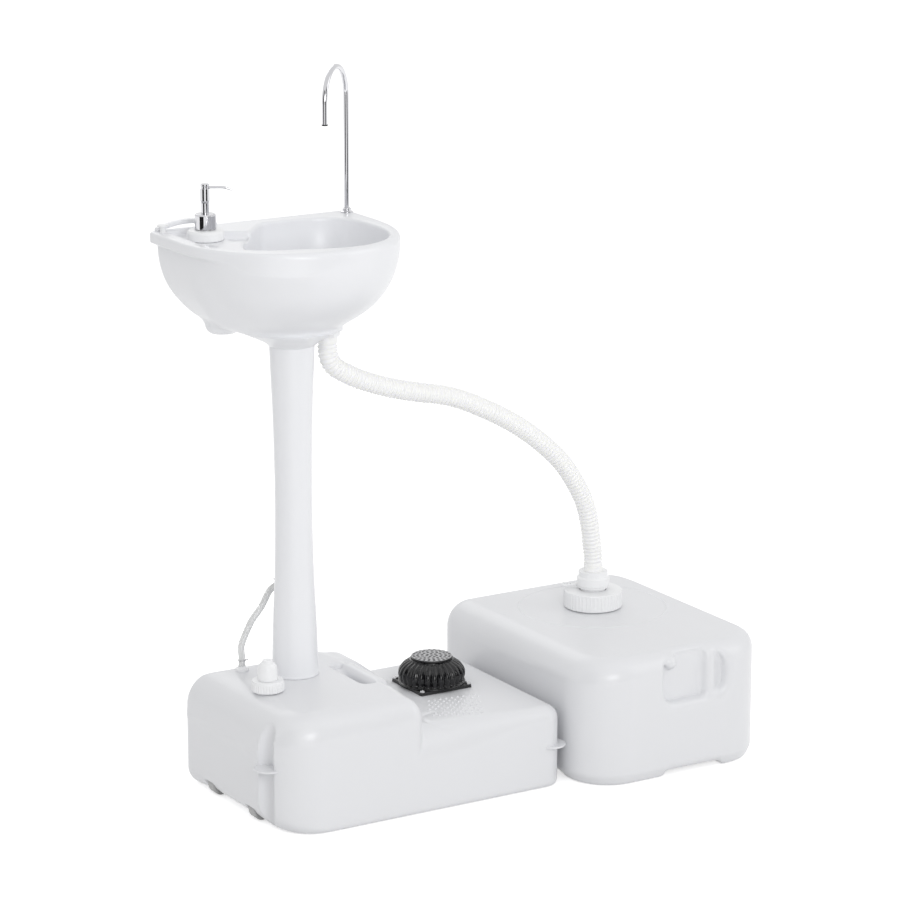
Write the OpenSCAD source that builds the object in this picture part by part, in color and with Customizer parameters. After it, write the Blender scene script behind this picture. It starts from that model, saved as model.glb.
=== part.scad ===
// Portable camping wash stand. A wheeled fresh-water tank with a foot-worked air pump carries
// a pedestal, a D-shaped basin with a swivel spout and a soap dispenser. A ribbed hose drains
// the basin into a separate waste-water tank. The front is -Y and +X is to the user's right.
// The origin is on the floor, under the middle of the pedestal.

/* [Fresh tank] */
// Length of the fresh tank, left to right
fresh_len = 458; // [430:1:560]
// Depth of the fresh tank, front to back
fresh_depth = 305; // [290:1:380]
// Height of the high deck that carries the pedestal
deck_z = 170; // [150:1:210]
// Height of the low platform that carries the foot pump
step_z = 120; // [100:1:140]
// Length of the high deck, left to right
high_len = 229; // [215:1:280]
// Wall of both tanks
tank_wall = 3; // [2:0.5:4]
// Distance of the pedestal from the tank's left end
pedestal_from_left = 129; // [115:1:160]
// Distance of the pedestal from the tank's front
pedestal_from_front = 198; // [170:1:230]
// Radius of the filler neck's bore
filler_bore_r = 14; // [10:0.5:18]
// Width of the finger recess in the deck
grip_w = 26; // [22:1:34]
// Length of the finger recess in the deck
grip_len = 104; // [80:1:120]
// Depth of the finger recess in the deck
grip_depth = 34; // [22:1:45]

/* [Wheels] */
// Radius of a transport wheel
wheel_r = 14; // [12:0.5:18]
// Width of a transport wheel
wheel_w = 20; // [16:1:30]
// Radius of a wheel's axle pin
axle_r = 3; // [2:0.25:4]
// Distance between the two wheels' middles
wheel_pitch = 122; // [90:1:160]

/* [Foot pump] */
// Side of the pump's square base plate
plate_side = 86; // [76:1:110]
// Largest radius of the bellows
bellows_r = 49; // [40:1:56]
// Height of the bellows above its plate
bellows_h = 36; // [30:1:50]
// Radius of the round foot tread
tread_r = 30; // [24:1:36]
// Travel of the foot tread
pump_travel = 22; // [15:1:26]
// Distance of the pump's middle from the tank's right end
pump_from_right = 110; // [80:1:130]
// Distance of the pump's middle from the tank's front
pump_from_front = 185; // [120:1:220]

/* [Pedestal] */
// Length of the pedestal
pedestal_h = 480; // [400:1:600]
// Radius of the pedestal's foot
foot_r = 33; // [31:0.5:42]
// Radius of the pedestal's waist
waist_r = 26.5; // [25:0.5:30]
// Radius of the pedestal's top
head_r = 32; // [30:0.5:40]
// Wall of the pedestal at its waist
pedestal_wall = 2.5; // [1.5:0.5:4]
// Length of the plug-in joints at both ends of the pedestal
socket_len = 42; // [30:1:60]

/* [Basin] */
// Width of the basin's rim
basin_w = 321.5; // [290:1:380]
// Height of the rim above the pedestal's top
basin_h = 155; // [145:1:200]
// Distance of the rim's straight back edge behind the pedestal
basin_back = 133; // [115:1:160]
// Height of the rim's lip
lip_h = 16; // [10:1:24]
// Wall of the double-walled basin
basin_wall = 3; // [2:0.5:4]
// Radius of the bowl's opening
bowl_r = 102; // [85:1:106]
// Depth of the bowl
bowl_depth = 103; // [80:1:108]
// Depth of the soap shelf below the rim
shelf_drop = 8; // [4:1:12]

/* [Spout] */
// Radius of the spout's tube
spout_r = 4; // [3:0.25:6]
// Height of the spout's straight riser above the rim
spout_rise = 168; // [120:1:220]
// Radius of the spout's bend
spout_bend_r = 47.5; // [30:0.5:60]
// Length of the spout's straight outlet
spout_drop = 27; // [15:1:50]
// Direction that the spout points to at rest, in degrees
spout_turn = 222; // [180:1:270]

/* [Soap dispenser] */
// Radius of the soap bottle
bottle_r = 22; // [16:0.5:22]
// Length of the soap bottle below the shelf
bottle_h = 80; // [60:1:82]
// Radius of the dispenser's white ring
ring_r = 26; // [25:0.5:30]
// Radius of the dispenser's bright cap
soap_cap_r = 15; // [14.5:0.5:20]
// Travel of the dispenser's head
soap_travel = 10; // [6:1:12]
// Reach of the dispenser's nozzle
nozzle_len = 38; // [25:1:50]

/* [Drain] */
// Outer radius of the ribbed drain hose
hose_r = 14.5; // [12:0.5:16]
// Bore radius of the ribbed drain hose
hose_bore_r = 12; // [10:0.5:12.5]
// Radius of the drain's strainer
strainer_r = 22; // [20:0.5:26]

/* [Waste tank] */
// Width of the waste tank, left to right
waste_w = 318; // [280:1:380]
// Depth of the waste tank, front to back
waste_depth = 422; // [330:1:460]
// Height of the waste tank
waste_h = 187; // [160:1:230]
// Gap between the two tanks
tank_gap = 11; // [8:1:40]
// Distance that the waste tank stands out in front of the fresh tank
waste_ahead = 52; // [0:1:80]
// Radius of the waste tank's screw ring
waste_ring_r = 44; // [40:1:52]

/* [Clearances] */
// Gap round a part that plugs into another
plug_gap = 0.3; // [0.2:0.05:0.6]
// Radial gap of a turning or sliding fit
run_gap = 0.06; // [0.02:0.01:0.1]
// Gap between faces that move past each other
move_gap = 0.4; // [0.3:0.05:1]
// Gap of a seated part that doesn't move
seat_gap = 0.05; // [0.02:0.01:0.1]

/* [Hidden] */
$fn = 72;

// Places that follow from the driving sizes
fresh_x = [-pedestal_from_left, fresh_len - pedestal_from_left];
fresh_y = [-pedestal_from_front, fresh_depth - pedestal_from_front];
high_x = [fresh_x[0], fresh_x[0] + high_len];
pump_at = [fresh_x[1] - pump_from_right, fresh_y[0] + pump_from_front];
filler_at = [fresh_x[0] + 56, -52];
outlet_at = [fresh_x[0] + 69.5, 50];
grip_x = [high_x[1] - 16 - grip_w, high_x[1] - 16];
grip_y = [-94, -94 + grip_len];
wheel_ys = [for (s = [-1, 1]) (fresh_y[0] + fresh_y[1]) / 2 + 14 + s * wheel_pitch / 2];
well_gap = 2.5;
wheel_x = fresh_x[0] + tank_wall + well_gap + wheel_r;
wheel_z = wheel_r + 0.3;
axle_grip = 4;
groove_at = [fresh_x[0] - 2, fresh_y[0] + 55];
groove_r = 17;
ear_t = 3;

pedestal_top = deck_z + pedestal_h;
rim_z = pedestal_top + basin_h;
inlet_z = deck_z + 130;
plug_r = 27;
head_plug_r = 24;

// The basin's outside is centred near the pedestal, its bowl lies to the right of the shelf
lip_left = 4.75 - basin_w / 2;
lip_right = 4.75 + basin_w / 2;
lip_front_y = 25;
body_at = [13, 20];
body_r = basin_w / 2 - 9.75;
body_back = basin_back - 3 - body_at[1];
body_depth = basin_h - 10;
body_left = body_at[0] - lip_left - 15.5;
pod_reach = 45;
bowl_at = [38, 6];
bowl_back = 98;
drain_at = [57, 0];
sump_z = rim_z - bowl_depth + 1.5;
boss_z = rim_z - body_depth + 4;
soap_at = [-97, 68];
rail_x = -98;
shelf_z = rim_z - shelf_drop;
spout_at = [lip_right - 11.5, basin_back - 20];

pump_z = step_z + 1.5;
plate_t = 3.5;
bellows_z = pump_z + plate_t;
tread_z = bellows_z + bellows_h;
screw_off = plate_side / 2 - 4.5;
pump_hole_r = 31;

waste_x = [fresh_x[1] + tank_gap, fresh_x[1] + tank_gap + waste_w];
waste_y = [fresh_y[0] - waste_ahead, fresh_y[0] - waste_ahead + waste_depth];
cap_at = [waste_x[0] + 175, waste_y[0] + 260];
neck_top = waste_h + 11;
neck_r = waste_ring_r - 6;
flange_z = neck_top + 2;
washer_z = flange_z + 3.5;
ring_z = [waste_h + 1.5, waste_h + 27];
ring_lift = 3;
collar_z = [ring_z[1] + ring_lift + 4, ring_z[1] + ring_lift + 26];
collar_r = 24.5;

filler_neck_top = deck_z + 12;
filler_cap_r = 23.5;
filler_lift = 6;

drain_nut_z = boss_z - 7;

// A route's points, moved by a at its start and by b at its end; from and to bound the blend
function moved(p, a, b, from, to) = [for (i = [0 : len(p) - 1])
    let (w = min(1, max(0, (i - from) / (to - from)))) p[i] + a * (1 - w) + b * w];

// Route of the ribbed drain hose, from under the basin to the waste tank's collar
spigot_r = hose_bore_r * cos(22.5) - 0.1;
drain_route = moved([[57, 0, 656.5], [57, 0, 642], [57.5, 0, 632], [60, 0, 621.5], [67, 0, 611.5],
               [78, 0, 603.5], [94, 0, 594.5], [110, 0, 586.7], [142.6, 0, 574], [175.5, 0, 564],
               [208.7, 0, 555.7], [242, 0, 548.5], [275.8, 0, 537.5], [309.7, 0, 521.7],
               [343.9, 0, 504], [378.5, 0, 482.5], [413, 0.5, 456.5], [448.6, 1.5, 423.5],
               [474, 3, 389.8], [493.5, 5, 355.5], [504.5, 7, 323], [510.5, 9, 291],
               [514, 10, 270.5], [515, 10, 257], [515, 10, 243]],
               [drain_at[0] - 57, drain_at[1], drain_nut_z - 657],
               [cap_at[0] - 515, cap_at[1] - 10, collar_z[1] - 243 + seat_gap], 2, 22);

// Route of the clear supply hose, from the deck's fitting to the pedestal's inlet
supply_r = 4.75;
supply_bore = 3.3;
supply_spigot_r = supply_bore * cos(22.5) - 0.1;
inlet_y = 31;
inlet_tilt = 125.3;
inlet_turn = 126;
inlet_dir = [sin(inlet_tilt) * cos(inlet_turn), sin(inlet_tilt) * sin(inlet_turn), cos(inlet_tilt)];
supply_route = moved(concat([[-59.5, 50, 178], [-59.5, 50, 185], [-59.7, 50, 192], [-60.2, 50.4, 199.5],
                [-59.4, 51, 207], [-56, 52, 215], [-51.6, 52, 223.5], [-47.5, 52, 231.5],
                [-42.5, 52, 240], [-36.4, 52, 247.5], [-29, 52, 255.5], [-22.8, 52, 264],
                [-18.3, 51.5, 272.5], [-14.6, 49.6, 280.5]],
                [for (d = [22, 14, 7]) [0, 31, 300] + d * inlet_dir]),
                [outlet_at[0] + 59.5, outlet_at[1] - 50, deck_z - 170],
                [0, inlet_y - 31, inlet_z - 300], 2, 13);

// Route of the inner hose, from the inlet up the pedestal and through the hollow basin
riser_r = 3.8;
riser_bore = 2.6;
riser_spigot_r = riser_bore * cos(22.5) - 0.1;
riser_in_stem = moved([[0, 13, 306], [0, 13, 323], [0, 12, 336], [0, 7, 362], [0, 1.5, 400], [0, 0, 450],
               [0, 0, 530], [0, 0, 610], [0, 1, 640], [0, 4, 660], [1, 12, 676], [6, 24, 687],
               [18, 38, 693], [36, 52, 698.5], [58, 67, 706], [80, 80, 716.5], [102, 91.5, 731],
               [122, 101, 745], [138, 108, 754.5], [148, 111.4, 760.5], [153, 112.8, 766],
               [154, 113, 772.5], [154, 113, 789.9]],
               [0, 0, inlet_z - 300], [0, 0, rim_z - 805], 2, 5);
riser_route = moved(riser_in_stem, [0, 0, 0], [spout_at[0] - 154, spout_at[1] - 113, 0], 11, 19);

white = [0.9, 0.91, 0.91];
clear = [0.86, 0.88, 0.88];
black = [0.08, 0.08, 0.09];
grey = [0.5, 0.5, 0.51];
steel = [0.75, 0.76, 0.78];
rubber = [0.2, 0.2, 0.2];

// ---------- shared shapes ----------

// Upright rectangle with its own radius at each corner, from x0 y0 round to x0 y1
module outline(x, y, r) {
    polygon([[x[0] + r[0], y[0]], [x[1] - r[1], y[0]], [x[1], y[0] + r[1]], [x[1], y[1] - r[2]],
             [x[1] - r[2], y[1]], [x[0] + r[3], y[1]], [x[0], y[1] - r[3]], [x[0], y[0] + r[0]]]);
    translate([x[0] + r[0], y[0] + r[0]]) circle(r[0]);
    translate([x[1] - r[1], y[0] + r[1]]) circle(r[1]);
    translate([x[1] - r[2], y[1] - r[2]]) circle(r[2]);
    translate([x[0] + r[3], y[1] - r[3]]) circle(r[3]);
}

// Rounded block: what its plan, its side view and its front view have in common
module block(x, y, z, plan, side, front) {
    intersection() {
        translate([0, 0, z[0] - 1]) linear_extrude(z[1] - z[0] + 2) outline(x, y, plan);
        translate([x[0] - 1, 0, 0]) rotate([90, 0, 90]) linear_extrude(x[1] - x[0] + 2)
            outline(y, z, side);
        translate([0, y[1] + 1, 0]) rotate([90, 0, 0]) linear_extrude(y[1] - y[0] + 2)
            outline(x, z, front);
    }
}

module slab(x, y, z, r) {
    translate([0, 0, z[0]]) linear_extrude(z[1] - z[0]) outline(x, y, [r, r, r, r]);
}

module ring(r_in, r_out, z, sides = 72) {
    translate([0, 0, z[0]]) difference() {
        cylinder(r = r_out, h = z[1] - z[0], $fn = sides);
        translate([0, 0, -1]) cylinder(r = r_in, h = z[1] - z[0] + 2, $fn = sides);
    }
}

// Ring cap with upright grip ribs round its skirt
module ribbed_ring(r_in, r_out, z, ribs) {
    difference() {
        union() {
            translate([0, 0, z[0]]) cylinder(r = r_out - 0.8, h = z[1] - z[0]);
            for (i = [0 : ribs - 1]) rotate([0, 0, 360 * i / ribs])
                translate([r_out - 1.3, -0.9, z[0] + 1]) cube([1.3, 1.8, z[1] - z[0] - 2]);
        }
        translate([0, 0, z[0] - 1]) cylinder(r = r_in, h = z[1] - z[0] + 2);
    }
}

// Quarter of a rounded curve from the rim's edge down to the lowest point; p = 2 is an ellipse
function quarter(a, d, n, p) = [for (i = [0 : n])
    [a * pow(max(0, cos(90 * i / n)), 2 / p), -d * pow(max(0, sin(90 * i / n)), 2 / p)]];
function mirrored(q) = [for (i = [len(q) - 2 : -1 : 0]) [-q[i][0], q[i][1]]];

// Bowl with a round front and a straight back; its rim lies in the plane z = 0
module d_bowl(r, back, depth) {
    q = quarter(r, depth, 12, 2.05);
    rotate([0, 0, 180]) rotate_extrude(angle = 180) polygon(concat([[0, 0]], q));
    intersection() {
        translate([0, back + 1, 0]) rotate([90, 0, 0]) linear_extrude(back + 1)
            polygon(concat(q, mirrored(q)));
        translate([-r - 1, 0, 0]) rotate([90, 0, 90]) linear_extrude(2 * r + 2)
            polygon(concat([[0, 0]], quarter(back, depth, 12, 2.05)));
    }
}

// Straight-backed, round-fronted plan of the rim's lip
module lip_plan(inset) {
    x = [lip_left + inset, lip_right - inset];
    r = (x[1] - x[0]) / 2;
    intersection() {
        translate([(x[0] + x[1]) / 2, lip_front_y]) circle(r, $fn = 120);
        translate([x[0] - 1, lip_front_y - 300]) square([2 * r + 2, 300.5]);
    }
    outline(x, [lip_front_y, basin_back - inset], [1, 1, 14 - inset, 8 - inset]);
    translate([x[0], lip_front_y - 1]) square([2 * r, 4]);
}

// ---------- tubes along a route ----------

function add_up(v, i = 0) = i < len(v) ? v[i] + add_up(v, i + 1) : 0;
function unit(v) = v / norm(v);
// Point on a smooth curve through four points, at t between the middle two
function curve_at(a, b, c, d, t) =
    0.5 * ((2 * b) + (c - a) * t + (2 * a - 5 * b + 4 * c - d) * t * t
           + (3 * b - a - 3 * c + d) * t * t * t);
// Fine points along a route, steps of them to each of its stretches
function smooth(p, steps) = [for (i = [0 : len(p) - 2]) for (k = [0 : steps - 1])
    curve_at(i == 0 ? 2 * p[0] - p[1] : p[i - 1], p[i], p[i + 1],
             i == len(p) - 2 ? 2 * p[i + 1] - p[i] : p[i + 2], k / steps), p[len(p) - 1]];
function lengths(p) = [for (i = 0, s = 0; i < len(p); s = s + (i + 1 < len(p) ? norm(p[i + 1] - p[i]) : 0),
                       i = i + 1) s];
// Point at distance s along fine points whose running lengths are l
function find(l, s, a, b) = b - a < 2 ? a : let (m = floor((a + b) / 2)) l[m] > s ? find(l, s, a, m) : find(l, s, m, b);
function at(p, l, s) = let (i = find(l, s, 0, len(l) - 1)) p[i] + (p[i + 1] - p[i]) * (s - l[i]) / (l[i + 1] - l[i]);
function heading(p, l, s) = let (e = 0.5, total = l[len(l) - 1])
    unit(at(p, l, min(s + e, total)) - at(p, l, max(s - e, 0)));
// One ring of points round the route at distance s, square to it, with side pointing along -Y
function hoop(p, l, s, r, sides) = let (t = heading(p, l, s), u = unit(cross(t, [0, 1, 0.001])), v = cross(t, u), c = at(p, l, s))
    [for (k = [0 : sides - 1]) c + r * (u * cos(360 * k / sides) + v * sin(360 * k / sides))];
// Side faces between ring i and the next, as triangles
function skin(rings, sides, first, flip) = [for (i = [0 : rings - 2]) for (k = [0 : sides - 1])
    let (a = first + i * sides + k, b = first + i * sides + (k + 1) % sides, c = a + sides, d = b + sides)
    each flip ? [[a, b, d], [a, d, c]] : [[a, d, b], [a, c, d]]];
// Flat end between an inner ring and an outer ring
function end_ring(outer, inner, sides, flip) = [for (k = [0 : sides - 1])
    let (a = outer + k, b = outer + (k + 1) % sides, c = inner + k, d = inner + (k + 1) % sides)
    each flip ? [[a, b, d], [a, d, c]] : [[a, d, b], [a, c, d]]];
function cap(first, sides, flip) = [for (k = [1 : sides - 2])
    flip ? [first, first + k, first + k + 1] : [first, first + k + 1, first + k]];

// Plain tube along a route
module tube(route, r, bore, sides, gap) {
    p = smooth(route, 8);
    l = lengths(p);
    total = l[len(l) - 1];
    n = ceil(total / gap);
    points = concat([for (i = [0 : n]) each hoop(p, l, total * i / n, r, sides)],
                    [for (i = [0 : n]) each hoop(p, l, total * i / n, bore, sides)]);
    base = (n + 1) * sides;
    polyhedron(points, concat(skin(n + 1, sides, 0, false), skin(n + 1, sides, base, true),
                              end_ring(0, base, sides, true), end_ring(n * sides, base + n * sides, sides, false)));
}

// Ribbed hose with its bore: one crest and one valley to each rib, plain at both ends
module ribbed_hose(route, r, bore, pitch, depth, sides) {
    p = smooth(route, 8);
    l = lengths(p);
    total = l[len(l) - 1];
    plain = 8;
    ribs = floor((total - 2 * plain) / pitch);
    outer = concat([[0, r], [plain - 2, r]],
                   [for (i = [0 : ribs - 1]) each [[plain + i * pitch, r - depth],
                                                   [plain + (i + 0.5) * pitch, r]]],
                   [[total - plain, r - depth], [total - plain + 2, r], [total, r]]);
    inner_n = 44;
    points = concat([for (o = outer) each hoop(p, l, o[0], o[1], sides)],
                    [for (i = [0 : inner_n]) each hoop(p, l, total * i / inner_n, bore, sides)]);
    base = len(outer) * sides;
    polyhedron(points, concat(
        skin(len(outer), sides, 0, false), skin(inner_n + 1, sides, base, true),
        end_ring(0, base, sides, true),
        end_ring((len(outer) - 1) * sides, base + inner_n * sides, sides, false)));
}

// Helical spring of round wire, standing on z = 0
module spring(r, wire_r, h, turns) {
    rings = turns * 8;
    points = [for (i = [0 : rings]) let (a = 360 * i / 8, z = wire_r + (h - 2 * wire_r) * i / rings)
        each [for (k = [0 : 5]) [(r + wire_r * cos(60 * k)) * cos(a), (r + wire_r * cos(60 * k)) * sin(a),
                                 z + wire_r * sin(60 * k)]]];
    polyhedron(points, concat(skin(rings + 1, 6, 0, true), cap(0, 6, false), cap(rings * 6, 6, true)));
}

// ---------- fresh tank ----------

module fresh_form(w) {
    block([high_x[0] + w, high_x[1] - w], [fresh_y[0] + w, fresh_y[1] - w], [w, deck_z - w],
          [66 - w, 20 - w, 30 - w, 24 - w], [9 - w, 9 - w, 52 - w, 38 - w],
          [22 - w, 6 - w, 24 - w, 52 - w]);
    block([fresh_x[0] + w, fresh_x[1] - w], [fresh_y[0] + w, fresh_y[1] - w], [w, step_z - w],
          [66 - w, 24 - w, 30 - w, 24 - w], [9 - w, 9 - w, 20 - w, 20 - w],
          [22 - w, 9 - w, 20 - w, 20 - w]);
}

// Sloping shoulder at the back of the step, with w as its inset
module shoulder(w) {
    run = 68 * (deck_z - step_z) / 50;
    intersection() {
        translate([0, fresh_y[1], 0]) rotate([90, 0, 0]) linear_extrude(120)
            polygon([[high_x[1] - 30, step_z - 30], [high_x[1] + run - w, step_z - 30],
                     [high_x[1] + run - w, step_z - w], [high_x[1] + run - 7 - w, step_z + 6 - w],
                     [high_x[1] + 16 - w, deck_z - 9 - w], [high_x[1] + 2 - w, deck_z - 4 - w],
                     [high_x[1] - 30, deck_z - 2 - w]]);
        translate([high_x[1] - 60, 0, 0]) rotate([90, 0, 90]) linear_extrude(160)
            outline([fresh_y[1] - 88 + w, fresh_y[1] - w], [step_z - 40, deck_z - 2 - w],
                    [1, 1, 44 - w, 16 - w]);
    }
}

module wheel_well(y, w) {
    slab([w > 0 ? fresh_x[0] - 12 : wheel_x - wheel_r - well_gap, wheel_x + wheel_r + well_gap + w],
         [y - wheel_w / 2 - well_gap - (w > 0 ? w + axle_grip : 0),
          y + wheel_w / 2 + well_gap + (w > 0 ? w + axle_grip : 0)],
         [-1, wheel_z + wheel_r + well_gap + w], 4);
}

module grip_pocket(w) {
    slab([grip_x[0] - w, grip_x[1] + w], [grip_y[0] - w, grip_y[1] + w],
         [deck_z - grip_depth - w, deck_z + 1], 12);
}

module groove(w) {
    translate([groove_at[0], groove_at[1], -1]) cylinder(r = groove_r + w, h = deck_z - 6 + w);
}

// Thin ears on the parting line: one across the groove, one at the right corner
module ears() {
    translate([groove_at[0] + 10, groove_at[1], step_z * 0.75]) cylinder(r = 24, h = ear_t);
    translate([fresh_x[1] - 14, fresh_y[0] + 14, step_z / 2]) cylinder(r = 22, h = ear_t);
}

module fresh_tank() color(white) {
    difference() {
        union() {
            difference() {
                union() {
                    fresh_form(0);
                    shoulder(0);
                    ears();
                }
                fresh_form(tank_wall);
                shoulder(tank_wall);
            }
            intersection() {
                fresh_form(0);
                union() {
                    for (y = wheel_ys) wheel_well(y, tank_wall);
                    grip_pocket(tank_wall);
                    groove(tank_wall);
                }
            }
            translate([0, 0, deck_z - 2]) cylinder(r = plug_r - plug_gap, h = socket_len + 2);
            translate([filler_at[0], filler_at[1], deck_z - 2])
                cylinder(r = filler_bore_r + 3, h = filler_neck_top - deck_z + 2);
        }
        for (y = wheel_ys) {
            wheel_well(y, 0);
            translate([wheel_x, y - wheel_w / 2 - well_gap - axle_grip, wheel_z]) rotate([-90, 0, 0])
                cylinder(r = axle_r + seat_gap, h = wheel_w + 2 * (well_gap + axle_grip));
        }
        grip_pocket(0);
        difference() {
            groove(0);
            translate([groove_at[0] + 10, groove_at[1], step_z * 0.75]) cylinder(r = 24, h = ear_t);
        }
        translate([filler_at[0], filler_at[1], deck_z - 20]) cylinder(r = filler_bore_r, h = 40);
        translate([pump_at[0], pump_at[1], step_z - 20]) cylinder(r = pump_hole_r, h = 40);
        translate([outlet_at[0], outlet_at[1], deck_z - 20]) cylinder(r = 6.5 + seat_gap, h = 40);
        for (sx = [-1, 1]) for (sy = [-1, 1])
            translate([pump_at[0] + sx * screw_off, pump_at[1] + sy * screw_off, step_z - 20])
                cylinder(r = 2 + seat_gap, h = 40);
        // The hollow spigot that the pedestal stands on is blind, so the tank stays sealed
        translate([0, 0, deck_z + 3]) cylinder(r = plug_r - 4, h = socket_len);
    }
}

module wheel(y) {
    translate([wheel_x, y - wheel_w / 2, wheel_z]) rotate([-90, 0, 0]) difference() {
        union() {
            translate([0, 0, 2]) cylinder(r = wheel_r, h = wheel_w - 4);
            cylinder(r = wheel_r - 2, h = wheel_w);
        }
        translate([0, 0, -1]) cylinder(r = axle_r + run_gap, h = wheel_w + 2);
        for (z = [-1, wheel_w - 5]) translate([0, 0, z]) difference() {
            cylinder(r = wheel_r - 5, h = 6);
            translate([0, 0, -1]) cylinder(r = axle_r + 4, h = 8);
        }
    }
}

module wheel_front() color(white) wheel(wheel_ys[0]);
module wheel_rear() color(white) wheel(wheel_ys[1]);

module wheel_axles() color(steel)
    for (y = wheel_ys) translate([wheel_x, y - wheel_w / 2 - well_gap - axle_grip + 0.2, wheel_z])
        rotate([-90, 0, 0]) cylinder(r = axle_r, h = wheel_w + 2 * (well_gap + axle_grip) - 0.4);

module filler_gasket() color(rubber) translate([filler_at[0], filler_at[1], 0])
    ring(filler_bore_r - 2, filler_bore_r + 3, [filler_neck_top + seat_gap, filler_neck_top + 1.8]);

module filler_cap() color(white) translate([filler_at[0], filler_at[1], 0]) difference() {
    union() {
        ribbed_ring(filler_bore_r + 3 + move_gap, filler_cap_r, [deck_z + 1.5, filler_neck_top + 2], 36);
        translate([0, 0, filler_neck_top + 1.9]) cylinder(r = filler_cap_r - 1.5, h = 3);
        translate([0, 0, filler_neck_top + 4]) cylinder(r = 9, h = 7);
    }
    translate([0, 0, filler_neck_top + 1]) cylinder(r = 3, h = 20);
}

module vent_cap() color(white) translate([filler_at[0], filler_at[1], filler_neck_top + 5])
    difference() {
        rotate_extrude() polygon([[0, 0], [14.2, 0], [14.2, 15], [13, 20], [10.5, 24], [7.5, 26],
                                  [7, 29], [0, 29]]);
        translate([0, 0, -1]) cylinder(r = 9 + seat_gap, h = 7 + seat_gap);
    }

module outlet_fitting() color(white) translate([outlet_at[0], outlet_at[1], 0]) difference() {
    union() {
        translate([0, 0, deck_z]) cylinder(r = 9.5, h = 4);
        translate([0, 0, deck_z - 16]) cylinder(r = 6.5, h = 17);
        translate([0, 0, deck_z + 3]) cylinder(r = 6, h = 4);
        translate([0, 0, deck_z + 6]) cylinder(r = supply_spigot_r, h = 14);
    }
    translate([0, 0, deck_z - 17]) cylinder(r = 1.8, h = 60);
    translate([0, 0, deck_z - 17]) cylinder(r = 4 + seat_gap, h = 9);
}

module outlet_nut() color(white) translate([outlet_at[0], outlet_at[1], 0]) difference() {
    translate([0, 0, deck_z - tank_wall - 6.4]) cylinder(r = 10, h = 6, $fn = 6);
    translate([0, 0, deck_z - tank_wall - 7]) cylinder(r = 6.5 + seat_gap, h = 8);
}

module dip_tube() color(clear) translate([outlet_at[0], outlet_at[1], 0])
    ring(2.5, 4, [18, deck_z - 8]);

module dip_strainer() color(white) translate([outlet_at[0], outlet_at[1], 0]) difference() {
    translate([0, 0, tank_wall + 1]) cylinder(r = 9, h = 24);
    translate([0, 0, tank_wall + 3]) cylinder(r = 7.5, h = 12);
    translate([0, 0, 18]) cylinder(r = 4 + seat_gap, h = 20);
    for (a = [0, 60, 120]) rotate([0, 0, a]) translate([-1, -12, tank_wall + 4]) cube([2, 24, 9]);
}

// ---------- foot pump ----------

module screw_places() for (sx = [-1, 1]) for (sy = [-1, 1])
    translate([pump_at[0] + sx * screw_off, pump_at[1] + sy * screw_off, 0]) children();

module plate_form(z) {
    half = plate_side / 2;
    translate([pump_at[0], pump_at[1], 0]) slab([-half, half], [-half, half], z, 3);
}

module pump_gasket() color(rubber) difference() {
    plate_form([step_z + seat_gap, pump_z - seat_gap]);
    translate([pump_at[0], pump_at[1], step_z - 1]) cylinder(r = pump_hole_r, h = 10);
    screw_places() translate([0, 0, step_z - 1]) cylinder(r = 2.3, h = 10);
}

module pump_plate() color(black) difference() {
    union() {
        plate_form([pump_z, pump_z + plate_t]);
        translate([pump_at[0], pump_at[1], step_z - 8]) cylinder(r = pump_hole_r - 0.5, h = 11);
    }
    translate([pump_at[0], pump_at[1], step_z - 9]) cylinder(r = pump_hole_r - 3, h = 8);
    translate([pump_at[0], pump_at[1], step_z - 9]) for (a = [0 : 60 : 300]) rotate([0, 0, a])
        translate([10, 0, 0]) cylinder(r = 2.5, h = 30);
    screw_places() translate([0, 0, step_z - 1]) cylinder(r = 2.2, h = 10);
}

module pump_screws() color(steel) screw_places() {
    translate([0, 0, step_z - 10]) cylinder(r = 2, h = pump_z + plate_t - step_z + 10.5);
    translate([0, 0, pump_z + plate_t]) difference() {
        cylinder(r = 3.6, h = 2.2);
        translate([-0.5, -2.4, 1.2]) cube([1, 4.8, 2]);
        translate([-2.4, -0.5, 1.2]) cube([4.8, 1, 2]);
    }
}

module pump_valve() color(rubber) translate([pump_at[0], pump_at[1], 0])
    translate([0, 0, step_z - 2.5 - seat_gap]) cylinder(r = 15, h = 1.5);

module pump_spring() color(steel) translate([pump_at[0], pump_at[1], bellows_z + 0.05])
    spring(20, 1.1, bellows_h - 3.5, 5);

// Half profile of the bellows at height share t, with its shoulder and its shallow waist
bellows_profile = [[1, 0], [1, 0.1], [0.97, 0.26], [0.93, 0.34], [0.95, 0.44], [0.955, 0.56],
                   [0.92, 0.66], [0.84, 0.77], [0.74, 0.86], [0.66, 0.93], [0.64, 1]];

module pump_bellows() color(black) translate([pump_at[0], pump_at[1], bellows_z]) {
    wall = 2.2;
    difference() {
        rotate_extrude() polygon(concat([[0, 0]], [for (p = bellows_profile) [bellows_r * p[0], bellows_h * p[1]]],
                                        [[0, bellows_h]]));
        rotate_extrude() polygon(concat([[0, -1], [bellows_r - wall, -1]],
            [for (p = bellows_profile) if (p[1] < 0.9) [bellows_r * p[0] - wall, bellows_h * p[1]]],
            [[bellows_r * 0.64 - wall, bellows_h - wall], [0, bellows_h - wall]]));
    }
}

module pump_tread() color(grey) translate([pump_at[0], pump_at[1], tread_z + seat_gap]) difference() {
    union() {
        cylinder(r = tread_r, h = 2.4);
        cylinder(r = tread_r - 1.2, h = 3.4);
    }
    for (n = [[8, 0.26], [14, 0.52], [20, 0.78]]) for (i = [0 : n[0] - 1]) rotate([0, 0, 360 * i / n[0]])
        translate([tread_r * n[1], 0, 2.2]) cylinder(r = 1.7, h = 3, $fn = 16);
}

// ---------- pedestal and its hoses ----------

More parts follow.
